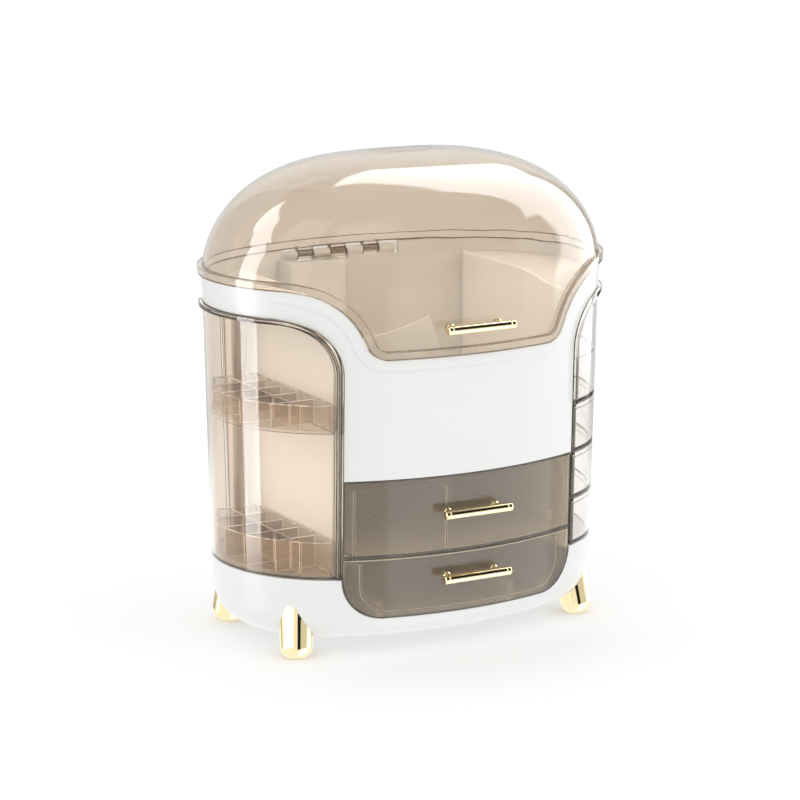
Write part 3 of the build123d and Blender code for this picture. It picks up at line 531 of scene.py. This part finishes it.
@dataclass
class SkyKit:
    """Shorthand for the node tree of the surroundings.

    Attributes:
        nodes: Nodes of the world.
        links: Links of the world.
    """

    nodes: bpy.types.Nodes
    links: bpy.types.NodeLinks

    def feed(self, value: float | Socket, target: Socket) -> None:
        """Give a socket a number or a link.

        Args:
            value: Number, or socket to link.
            target: Socket that gets it.
        """
        if isinstance(value, Socket):
            self.links.new(value, target)
        else:
            target.default_value = value

    def glow(self, strength: float | Socket) -> Socket:
        """White light.

        Args:
            strength: Its strength.

        Returns:
            The light's socket.
        """
        node = self.nodes.new("ShaderNodeBackground")
        node.inputs["Color"].default_value = (1.0, 1.0, 1.0, 1.0)
        self.feed(strength, node.inputs["Strength"])
        return node.outputs["Background"]

    def mix(self, factor: Socket, first: Socket, second: Socket) -> Socket:
        """Mix two lights.

        Args:
            factor: Socket from 0 to 1.
            first: Light at 0.
            second: Light at 1.

        Returns:
            The light's socket.
        """
        node = self.nodes.new("ShaderNodeMixShader")
        for source, target in zip((factor, first, second), node.inputs):
            self.links.new(source, target)
        return node.outputs["Shader"]

    def number(self, kind: str, *values: float | Socket) -> Socket:
        """Result of one arithmetic step.

        Args:
            kind: Name of the step.
            *values: Numbers or sockets that go in.

        Returns:
            The result's socket.
        """
        node = self.nodes.new("ShaderNodeMath")
        node.operation = kind
        for value, target in zip(values, node.inputs):
            self.feed(value, target)
        return node.outputs["Value"]

    def window(self, source: Socket, span: Span, soft: float) -> Socket:
        """1 between two angles, with soft ends.

        Args:
            source: Socket of the angle.
            span: Low and high angle.
            soft: Half width of the ends.

        Returns:
            The socket of the window.
        """
        low, high = span
        edges = []
        for start, end in ((low - soft, low + soft), (high + soft, high - soft)):
            node = self.nodes.new("ShaderNodeMapRange")
            node.interpolation_type = "SMOOTHSTEP"
            node.inputs["From Min"].default_value = start
            node.inputs["From Max"].default_value = end
            self.links.new(source, node.inputs["Value"])
            edges.append(node.outputs["Result"])
        return self.number("MULTIPLY", *edges)

    def pattern(self, plan: SkyPlan) -> Socket:
        """Strength of a sky by direction.

        Args:
            plan: Base light and boxes.

        Returns:
            The strength socket.
        """
        place = self.nodes.new("ShaderNodeTexCoord")
        split = self.nodes.new("ShaderNodeSeparateXYZ")
        self.links.new(place.outputs["Generated"], split.inputs["Vector"])
        front = self.number("MULTIPLY", split.outputs["Y"], -1.0)
        turn = self.number("DEGREES", self.number("ARCTAN2", split.outputs["X"], front))
        rise = self.number("DEGREES", self.number("ARCSINE", split.outputs["Z"]))
        total = self.number("ADD", 0.0, plan.base)
        for box in plan.boxes:
            across = turn
            if box.lean:
                across = self.number("SUBTRACT", turn, self.number("MULTIPLY", rise, box.lean))
            shape = self.number("MULTIPLY", self.window(across, box.turn, box.soft),
                                self.window(rise, box.rise, box.soft))
            total = self.number("ADD", total, self.number("MULTIPLY", shape, box.strength))
        return self.number("MAXIMUM", total, DARKEST_SKY)


def put_in_scene(name: str, data: bpy.types.ID) -> bpy.types.Object:
    """Make an object and put it in the scene.

    Args:
        name: Name of the object.
        data: Its mesh, lamp or camera.

    Returns:
        The object.
    """
    made = bpy.data.objects.new(name, data)
    bpy.context.scene.collection.objects.link(made)
    return made


@dataclass(frozen=True)
class Lamp:
    """One large soft lamp, unseen by the camera, in gloss and through clear plastic.

    Attributes:
        name: Name of the lamp.
        place: Position in metres.
        size: Side of the square lamp in metres.
        power: Power in watts.
    """

    name: str
    place: Point
    size: float
    power: float

    def hang(self, aim: Point) -> None:
        """Hang the lamp.

        Args:
            aim: Point that it faces.
        """
        data = bpy.data.lights.new(self.name, "AREA")
        data.size = self.size
        data.energy = self.power
        made = put_in_scene(self.name, data)
        made.location = Vector(self.place)
        made.rotation_mode = "QUATERNION"
        made.rotation_quaternion = (Vector(aim) - Vector(self.place)).to_track_quat("-Z", "Y")
        made.visible_camera = False
        made.visible_glossy = False
        made.visible_transmission = False


@dataclass
class Studio:
    """Floor, sky of soft boxes, lamps and the camera.

    Attributes:
        eye: Camera position in metres.
        turn: Azimuth of the camera in degrees, negative to the left of the front.
        tilt: Height of the camera above the horizon in degrees.
        lens: Focal length in millimetres.
        sensor: Width of the camera's sensor in millimetres.
        clip: Nearest and farthest distance that the camera sees, in metres.
        floor_half: Half the side of the floor in metres.
        floor_drop: Distance of the floor below the feet in metres.
        floor_tones: The two colours of its soft patches.
        backdrop: Strength of the plain white surroundings.
        inner: Strength of the sky for the light that falls in through clear plastic.
        aim: Point that the lamps face.
        lamps: Large soft lamps.
    """

    eye: Point = (-1.0760, -1.90702, 0.6510)
    turn: float = -29.32
    tilt: float = 12.42
    lens: float = 134.06
    sensor: float = 36.0
    clip: Span = (0.01, 100.0)
    floor_half: float = 12.0
    floor_drop: float = 0.0002
    floor_tones: tuple[Colour, Colour] = ((0.98, 0.98, 0.98), (0.99, 0.99, 0.99))
    backdrop: float = 1.04
    inner: float = 2.7
    aim: Point = (0.0, 0.0, 0.17)
    lamps: tuple[Lamp, ...] = (Lamp("key", (1.1, -1.3, 1.5), size=1.2, power=3.0),
                               Lamp("fill", (-1.6, -0.6, 0.9), size=1.4, power=2.0))

    def camera(self) -> None:
        """Place the camera at the photograph's angle."""
        data = bpy.data.cameras.new("camera")
        data.sensor_width = self.sensor
        data.lens = self.lens
        data.clip_start, data.clip_end = self.clip
        data.dof.use_dof = False
        made = put_in_scene("camera", data)
        turn, tilt = math.radians(self.turn), math.radians(self.tilt)
        level = math.cos(tilt)
        ahead = Vector((-math.sin(turn) * level, math.cos(turn) * level, -math.sin(tilt)))
        made.location = Vector(self.eye)
        made.rotation_mode = "QUATERNION"
        made.rotation_quaternion = ahead.to_track_quat("-Z", "Y")
        bpy.context.scene.camera = made

    def floor(self) -> None:
        """Lay a plain pale floor that doesn't light the pieces or show in their gloss."""
        shape = bmesh.new()
        bmesh.ops.create_grid(shape, x_segments=1, y_segments=1, size=self.floor_half)
        mesh = bpy.data.meshes.new("floor")
        shape.to_mesh(mesh)
        shape.free()
        made = put_in_scene("floor", mesh)
        made.location.z = -self.floor_drop
        kit = NodeKit("pale_floor")
        skin = kit.add("BsdfPrincipled")
        cloud = kit.noise(1.5, detail=2.0)
        kit.join(kit.blend(cloud, *self.floor_tones), skin.inputs["Base Color"])
        skin.inputs["Roughness"].default_value = 0.9
        skin.inputs["Specular IOR Level"].default_value = 0.1
        mesh.materials.append(kit.finish(skin.outputs["BSDF"]))
        made.visible_glossy = False
        made.visible_diffuse = False
        made.visible_shadow = False

    def sky(self) -> None:
        """Fill the surroundings with plain white.

        Gloss shows boxes and flags in its place, and clear plastic shows others, both only for
        rays that haven't met a matt surface. Past one, light through clear plastic is plain.
        """
        world = bpy.data.worlds.new("studio")
        bpy.context.scene.world = world
        world.use_nodes = True
        tree = world.node_tree
        tree.nodes.clear()
        dome = SkyKit(tree.nodes, tree.links)
        path = tree.nodes.new("ShaderNodeLightPath")
        plain = dome.glow(self.backdrop)
        # The depth counts whole bounces, so below a half means none yet
        unscattered = dome.number("LESS_THAN", path.outputs["Diffuse Depth"], 0.5)
        shiny = dome.number("MULTIPLY", path.outputs["Is Glossy Ray"], unscattered)
        inside = dome.mix(unscattered, dome.glow(self.inner), dome.glow(dome.pattern(CLEAR_SKY)))
        mirrored = dome.mix(shiny, plain, dome.glow(dome.pattern(GLOSS_SKY)))
        bent = dome.mix(path.outputs["Is Transmission Ray"], mirrored, inside)
        output = tree.nodes.new("ShaderNodeOutputWorld")
        tree.links.new(bent, output.inputs["Surface"])

    def build(self) -> None:
        """Set up the whole studio."""
        self.camera()
        self.floor()
        self.sky()
        for lamp in self.lamps:
            lamp.hang(self.aim)
        bpy.context.scene.view_settings.view_transform = "Standard"
        LOG.info("studio set up")


def settle(shape: bmesh.types.BMesh, name: str) -> bpy.types.Object:
    """Turn a finished shape into a smooth object at the origin.

    Args:
        shape: Closed shape in metres; it is freed.
        name: Name of the object.

    Returns:
        The object.
    """
    bmesh.ops.recalc_face_normals(shape, faces=shape.faces)
    for face in shape.faces:
        face.smooth = True
    mesh = bpy.data.meshes.new(name)
    shape.to_mesh(mesh)
    shape.free()
    return put_in_scene(name, mesh)


class Zone(IntEnum):
    """Numbers of the faces of a rounded piece."""

    SIDE = 0
    ROUNDING = 1
    FOOT_ROUNDING = 2


@dataclass(frozen=True)
class Facing:
    """Limits for taking over the shading of a sharp piece.

    Attributes:
        nudge: Distance in metres from a face's corner to the point that is looked up in its place.
        side: Least cosine between a side's face and the shading that it takes over.
        rounding: The same for the face of a rounding.
        weak: Length below which a sum of normals says nothing.
    """

    nudge: float = 0.00005
    side: float = 0.5
    rounding: float = 0.4
    weak: float = 0.01


FACING = Facing()


@dataclass(frozen=True)
class Edging:
    """Rounds the sharp edges of a moulded piece, or draws them as lines of painted dark reflection.

    Attributes:
        width: Width of the rounding or line in metres.
        steps: Segments across it.
        angle: Least angle in degrees between two faces that counts as an edge.
        merge: Distance in metres below which points are one.
        flat: Angle in degrees below which faces count as one.
        foot_band: Height in metres above the lowest point where roundings are foot roundings.
        film: Thickness of the lines in metres.
    """

    width: float
    steps: int = 2
    angle: float = 30.0
    merge: float = 0.000002
    flat: float = 0.04
    foot_band: float = 0.0
    film: float = 0.00003

    def rounded(self, node: bpy.types.Object) -> bmesh.types.BMesh:
        """Round the edges of a piece and number its faces by Zone.

        Args:
            node: Piece with sharp edges.

        Returns:
            The rounded shape.
        """
        shape = bmesh.new()
        shape.from_mesh(node.data)
        bmesh.ops.remove_doubles(shape, verts=shape.verts, dist=self.merge)
        bmesh.ops.recalc_face_normals(shape, faces=shape.faces)
        bmesh.ops.dissolve_limit(shape, angle_limit=math.radians(self.flat), verts=shape.verts,
                                 edges=shape.edges)
        for face in shape.faces:
            face.material_index = Zone.SIDE
        limit = math.radians(self.angle)
        sharp = [edge for edge in shape.edges
                 if edge.is_manifold and edge.calc_face_angle(0.0) > limit]
        rounded = bmesh.ops.bevel(shape, geom=sharp, offset=self.width, offset_type="OFFSET",
                                  segments=self.steps, profile=0.5, affect="EDGES", material=-1)
        for face in rounded["faces"]:
            face.material_index = Zone.ROUNDING
        bmesh.ops.remove_doubles(shape, verts=shape.verts, dist=self.merge)
        if self.foot_band:
            top = min(vert.co.z for vert in shape.verts) + self.foot_band
            for face in shape.faces:
                if face.material_index == Zone.ROUNDING and face.calc_center_median().z < top:
                    face.material_index = Zone.FOOT_ROUNDING
        return shape

    def copy(self, node: bpy.types.Object, name: str) -> bpy.types.Object:
        """Copy a piece with rounded edges.

        Args:
            node: Piece with sharp edges.
            name: Name of the copy.

        Returns:
            The copy.
        """
        made = settle(self.rounded(node), name)
        self.shade_like(made.data, node.data)
        return made

    def lines(self, node: bpy.types.Object, name: str) -> bpy.types.Object:
        """Draw the edges of a clear piece as narrow closed films just under its surface, finished
        as a painted dark reflection.

        Args:
            node: Piece with sharp edges.
            name: Name of the lines.

        Returns:
            The lines.
        """
        shape = self.rounded(node)
        sides = [face for face in shape.faces if face.material_index == Zone.SIDE]
        bmesh.ops.delete(shape, geom=sides, context="FACES")
        inner = bmesh.ops.extrude_face_region(shape, geom=list(shape.faces), use_keep_orig=True)
        shape.normal_update()
        for vert in [item for item in inner["geom"] if isinstance(item, bmesh.types.BMVert)]:
            vert.co -= vert.normal * self.film
        return settle(shape, name)

    @staticmethod
    def side_normals(mesh: bpy.types.Mesh,
                     source: bpy.types.Mesh) -> tuple[list[Vector], list[Vector]]:
        """Read the shading of a copy's sides from its source.

        Args:
            mesh: Copy with rounded edges.
            source: Piece with sharp edges, all triangles.

        Returns:
            The normal at each face corner, and the sum of the sides' normals at each point.
        """
        points = [vert.co.copy() for vert in source.vertices]
        corners = [normal.vector.copy() for normal in source.corner_normals]
        faces = [tuple(face.vertices) for face in source.polygons]
        starts = [face.loop_start for face in source.polygons]
        tree = BVHTree.FromPolygons(points, faces)
        normals = [Vector() for _ in mesh.loops]
        sums = [Vector() for _ in mesh.vertices]
        for face in mesh.polygons:
            if face.material_index != Zone.SIDE:
                continue
            for loop in face.loop_indices:
                number = mesh.loops[loop].vertex_index
                corner = mesh.vertices[number].co
                place = corner + (face.center - corner).normalized() * FACING.nudge
                spot, _, index, _ = tree.find_nearest(place)
                triangle = [points[point] for point in faces[index]]
                first = starts[index]
                normal = barycentric_transform(spot, *triangle, *corners[first:first + 3])
                normal = normal.normalized()
                if normal.dot(face.normal) < FACING.side:
                    normal = face.normal.copy()
                normals[loop] = normal
                sums[number] = sums[number] + normal
        return normals, sums

    @staticmethod
    def shade_like(mesh: bpy.types.Mesh, source: bpy.types.Mesh) -> None:
        """Shade a copy as its source; a rounding turns from one side's shading to the other's.

        Args:
            mesh: Copy with rounded edges.
            source: Piece with sharp edges, all triangles.
        """
        normals, sums = Edging.side_normals(mesh, source)
        near = [Vector() for _ in mesh.vertices]
        for edge in mesh.edges:
            one, other = edge.vertices
            near[one] = near[one] + sums[other]
            near[other] = near[other] + sums[one]
        for face in mesh.polygons:
            if face.material_index == Zone.SIDE:
                continue
            for loop in face.loop_indices:
                number = mesh.loops[loop].vertex_index
                own = sums[number] if sums[number].length > FACING.weak else near[number]
                own = own.normalized()
                if own.dot(face.normal) <= FACING.rounding:
                    own = face.normal.copy()
                normals[loop] = own
        mesh.normals_split_custom_set(normals)


SOFT = Edging(0.0003)
BOX = Edging(0.0004)
PLATE = Edging(0.00038)
# The foot band picks the roundings at the troughs' feet that get painted dark reflections
TROUGH = Edging(0.0006, foot_band=0.0012)
# Widths of the edge lines of clear pieces, which are painted dark reflections
THIN_LINE = Edging(0.0004, steps=1, angle=40.0)
LINE = Edging(0.0006, steps=1, angle=40.0)
WIDE_LINE = Edging(0.0011, steps=1, angle=40.0)


@dataclass
class SubAssembly:
    """Pieces that move with one body of the frame.

    Attributes:
        rack: Source of the materials.
        body: Body that the pieces ride on.
    """

    rack: FinishRack
    body: str

    def adopt(self, node: str, edging: Edging, *shades: Shade) -> None:
        """Show a copy with rounded edges in place of a node.

        Args:
            node: Name of the node.
            edging: How its edges are rounded.
            *shades: Finish of the sides, of the roundings and of those at the foot; the last one
                given is for the rest.
        """
        made = edging.copy(frame["nodes"][node], node + "_shown")
        self.rack.dress(made, *shades)
        self.stand_in(made, node)

    def outline(self, node: str, edging: Edging, main: Shade, line: Shade) -> None:
        """Dress a clear node and draw its edges as lines of painted dark reflection.

        Args:
            node: Name of the node.
            edging: How its edges are drawn.
            main: Finish of the node.
            line: Finish of the lines, a painted dark reflection.
        """
        self.rack.dress(frame["nodes"][node], main)
        made = edging.lines(frame["nodes"][node], node + "_lines")
        self.rack.dress(made, line)
        self.carry(made)

    def carry(self, piece: bpy.types.Object) -> None:
        """Let a piece ride on the body.

        Args:
            piece: New piece.
        """
        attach(piece, self.body)
        LOG.info("built %s", piece.name)

    def stand_in(self, piece: bpy.types.Object, node: str) -> None:
        """Let a piece ride on the body in place of a node."""
        self.carry(piece)
        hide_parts(node)


@dataclass
class ColumnBody(SubAssembly):
    """Rounded pieces of the white column; its base bowl and upper frame keep their CAD mesh.

    Attributes:
        well: Rear wall and floor of the well, in a darker white that is painted shade.
        inner: Walls, decks and guides inside the column, in a brighter white that is painted light.
        plates: Plates that are seen through the lid.
        feet: The four feet.
    """

    well: tuple[str, ...] = ("rear_wall", "well_floor")
    inner: tuple[str, ...] = ("partition_left", "partition_right", "base_deck_left",
                              "base_deck_right", "drawer_shelf", "drawer_runners")
    plates: tuple[str, ...] = ("wing_deck_left", "wing_deck_right", "well_divider",
                               "well_rear_pocket")
    feet: tuple[str, ...] = ("foot_front_left", "foot_front_right", "foot_rear_left",
                             "foot_rear_right")

    def build(self) -> None:
        """Build the column's pieces and its feet."""
        # A darker white in the well is painted shade, and a brighter one inside the column is
        # painted light
        for nodes, shade in ((self.well, Shade.WELL_PAINTED_SHADE), (self.inner, Shade.LINER_PAINTED_LIGHT),
                             (self.plates, Shade.WHITE), (self.feet, Shade.GOLD)):
            for node in nodes:
                self.adopt(node, SOFT, shade)


@dataclass
class BarHandle(SubAssembly):
    """Bar on two collared posts, turned like the real one.

    Attributes:
        node: CAD node that it stands for.
        bar: Radius of the bar in metres, as are all lengths here.
        round_off: Radius of the rounding of its ends.
        arc_steps: Segments of that rounding.
        flat_end: Share of the bar's radius where the dish of its end starts.
        dish: Depth of the dish.
        groove: Distance of the ring groove from each end.
        groove_width: Width of the groove.
        groove_depth: Depth of the groove; its sides are half as long.
        hold: Distance from an edge to the extra ring that keeps the shading beside it straight.
        post: Radius of the posts.
        spacing: Distance of each post from the middle.
        collar: Radius of the collars.
        collar_height: Height of the collars.
        neck: Length over which a post widens to its collar, and of the straight ring before it.
        ease: Size of the small bevels between post and collar.
        play: Gap that the collars keep from the end of the CAD posts.
        weld: Distance below which points are one.
        steps: Segments of a full turn.
    """

    node: str = "lid_handle"
    bar: float = 0.0033
    round_off: float = 0.0009
    arc_steps: int = 5
    flat_end: float = 0.4
    dish: float = 0.0001
    groove: float = 0.0034
    groove_width: float = 0.0006
    groove_depth: float = 0.0003
    hold: float = 0.0003
    post: float = 0.0024
    spacing: float = 0.020
    collar: float = 0.0031
    collar_height: float = 0.0010
    neck: float = 0.0004
    ease: float = 0.0002
    play: float = 0.00005
    weld: float = 0.000001
    steps: int = 48

    def bar_profile(self, half: float) -> list[tuple[float, float]]:
        """Outline of the bar from its middle to one end.

        Args:
            half: Half the length of the bar.

        Returns:
            Axial place and radius of each point.
        """
        outer = half - self.groove
        inner = outer - self.groove_width
        slope = self.groove_depth / 2.0
        bottom = self.bar - self.groove_depth
        bend = half - self.round_off
        points = [(0.0, self.bar), (inner - self.hold, self.bar), (inner, self.bar),
                  (inner + slope, bottom), (outer - slope, bottom), (outer, self.bar),
                  (outer + self.hold, self.bar), (bend - self.hold, self.bar), (bend, self.bar)]
        for index in range(1, self.arc_steps + 1):
            angle = math.radians(90.0 * index / self.arc_steps)
            points.append((half - self.round_off * (1.0 - math.sin(angle)),
                           self.bar - self.round_off * (1.0 - math.cos(angle))))
        return points + [(half, self.bar * self.flat_end), (half - self.dish, 0.0)]

    def post_profile(self, reach: float) -> list[tuple[float, float]]:
        """Outline of a post from the bar's axis to the face of its collar.

        Args:
            reach: Length of the post.

        Returns:
            Axial place and radius of each point.
        """
        shoulder = reach - self.collar_height
        neck = shoulder - self.neck
        return [(0.0, 0.0), (0.0, self.post), (neck - self.neck, self.post), (neck, self.post),
                (shoulder - self.ease / 2.0, self.post + self.ease),
                (shoulder, self.collar - self.ease), (shoulder + self.ease, self.collar),
                (reach, self.collar), (reach, 0.0)]

    def turned(self, shape: bmesh.types.BMesh, profile: list[tuple[float, float]], centre: Vector,
               along: Vector, across: Vector) -> None:
        """Spin a profile a full turn about an axis.

        Args:
            shape: Shape that gets the solid.
            profile: Axial place and radius of each point, from pole to pole.
            centre: Point on the axis.
            along: Direction of the axis.
            across: Direction of the radius.
        """
        points = [shape.verts.new(centre + along * place + across * radius)
                  for place, radius in profile]
        edges = [shape.edges.new(pair) for pair in zip(points, points[1:])]
        bmesh.ops.spin(shape, geom=points + edges, cent=centre, axis=along, angle=math.tau,
                       steps=self.steps, use_merge=True)

    def build(self) -> None:
        """Build the bar and its posts as one piece."""
        low, high = (Vector(corner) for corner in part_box(self.node))
        right, back, up = Vector((1.0, 0.0, 0.0)), Vector((0.0, 1.0, 0.0)), Vector((0.0, 0.0, 1.0))
        middle = Vector(((low.x + high.x) / 2.0, low.y + self.bar, (low.z + high.z) / 2.0))
        shape = bmesh.new()
        far = self.bar_profile((high.x - low.x) / 2.0)
        near = [(-place, radius) for place, radius in reversed(far[1:])]
        self.turned(shape, near + far, middle, right, up)
        post = self.post_profile(high.y - middle.y - self.play)
        for side in (-1.0, 1.0):
            self.turned(shape, post, middle + right * side * self.spacing, back, up)
        bmesh.ops.remove_doubles(shape, verts=shape.verts, dist=self.weld)
        made = settle(shape, self.node + "_shown")
        self.rack.dress(made, Shade.GOLD)
        self.stand_in(made, self.node)


@dataclass
class DomeLid(SubAssembly):
    """Clear domed lid with its bar handle."""

    def build(self) -> None:
        """Build the lid."""
        self.outline("lid_dome", THIN_LINE, Shade.LID, Shade.LID_PAINTED_EDGE)
        BarHandle(self.rack, self.body, "lid_handle").build()


@dataclass
class RackDoor(SubAssembly):
    """Clear door with two racks and their grids.

    Attributes:
        racks: CAD nodes of the racks.
        grids: CAD nodes of the grids.
    """

    racks: tuple[str, ...] = ("left_upper_rack", "left_lower_rack")
    grids: tuple[str, ...] = ("left_upper_grid", "left_lower_grid")

    def build(self) -> None:
        """Build the door and the racks."""
        self.outline("left_door_shell", LINE, Shade.TEA, Shade.TEA_PAINTED_EDGE)
        # The troughs' roundings carry painted glints, dark at their feet; the grids' roundings
        # carry painted highlights
        for node in self.racks:
            self.adopt(node, TROUGH, Shade.RACK, Shade.RACK_PAINTED_GLINTS, Shade.RACK_FOOT_PAINTED_DARK)
        for node in self.grids:
            self.adopt(node, PLATE, Shade.RACK, Shade.RACK_PAINTED_HIGHLIGHT)


@dataclass
class SwingTray(SubAssembly):
    """One clear swing-out tray of the right side.

    Attributes:
        node: CAD node of the tray.
    """

    node: str = "right_tray_top"

    def build(self) -> None:
        """Build the tray."""
        self.outline(self.node, THIN_LINE, Shade.PALE, Shade.PALE_PAINTED_EDGE)


@dataclass
class SmokyDrawer(SubAssembly):
    """One smoky drawer with its bar handle.

    Attributes:
        front: CAD node of the front.
        inside: CAD nodes of the box.
        handle: CAD node of the handle.
        line: How the front's edges are drawn as lines of painted dark reflection.
    """

    front: str = "upper_drawer_front"
    inside: tuple[str, ...] = ("upper_drawer_box", "upper_drawer_divider")
    handle: str = "upper_drawer_handle"
    line: Edging = WIDE_LINE

    def build(self) -> None:
        """Build the drawer."""
        # Painted dark reflections on the front's edges; the box is a paler smoke that is painted
        # light, with painted highlights on its rims
        self.outline(self.front, self.line, Shade.SMOKE, Shade.SMOKE_PAINTED_EDGE)
        for node in self.inside:
            self.adopt(node, BOX, Shade.SMOKE_BOX_PAINTED_LIGHT, Shade.SMOKE_RIM_PAINTED_HIGHLIGHT)
        BarHandle(self.rack, self.body, self.handle).build()


def dress_frame(rack: FinishRack) -> None:
    """Give every CAD node the finish of its material slot.

    Args:
        rack: Source of the materials.
    """
    for node, slot in SLOTS.items():
        rack.dress(frame["nodes"][node], Shade(slot))
        LOG.info("dressed %s", node)


def write_sizes() -> None:
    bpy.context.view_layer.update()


def main() -> None:
    """Build and dress everything in order."""
    logging.basicConfig(level=logging.INFO, format="%(message)s")
    rack = FinishRack()
    dress_frame(rack)
    ColumnBody(rack, "body").build()
    DomeLid(rack, "lid").build()
    RackDoor(rack, "left_door").build()
    for level in ("bottom", "lower", "upper", "top"):
        SwingTray(rack, "tray_" + level, "right_tray_" + level).build()
    SmokyDrawer(rack, "upper_drawer").build()
    SmokyDrawer(rack, "lower_drawer", "lower_drawer_front", ("lower_drawer_box",),
                "lower_drawer_handle", LINE).build()
    Studio().build()
    write_sizes()


if __name__ == "__main__":
    main()
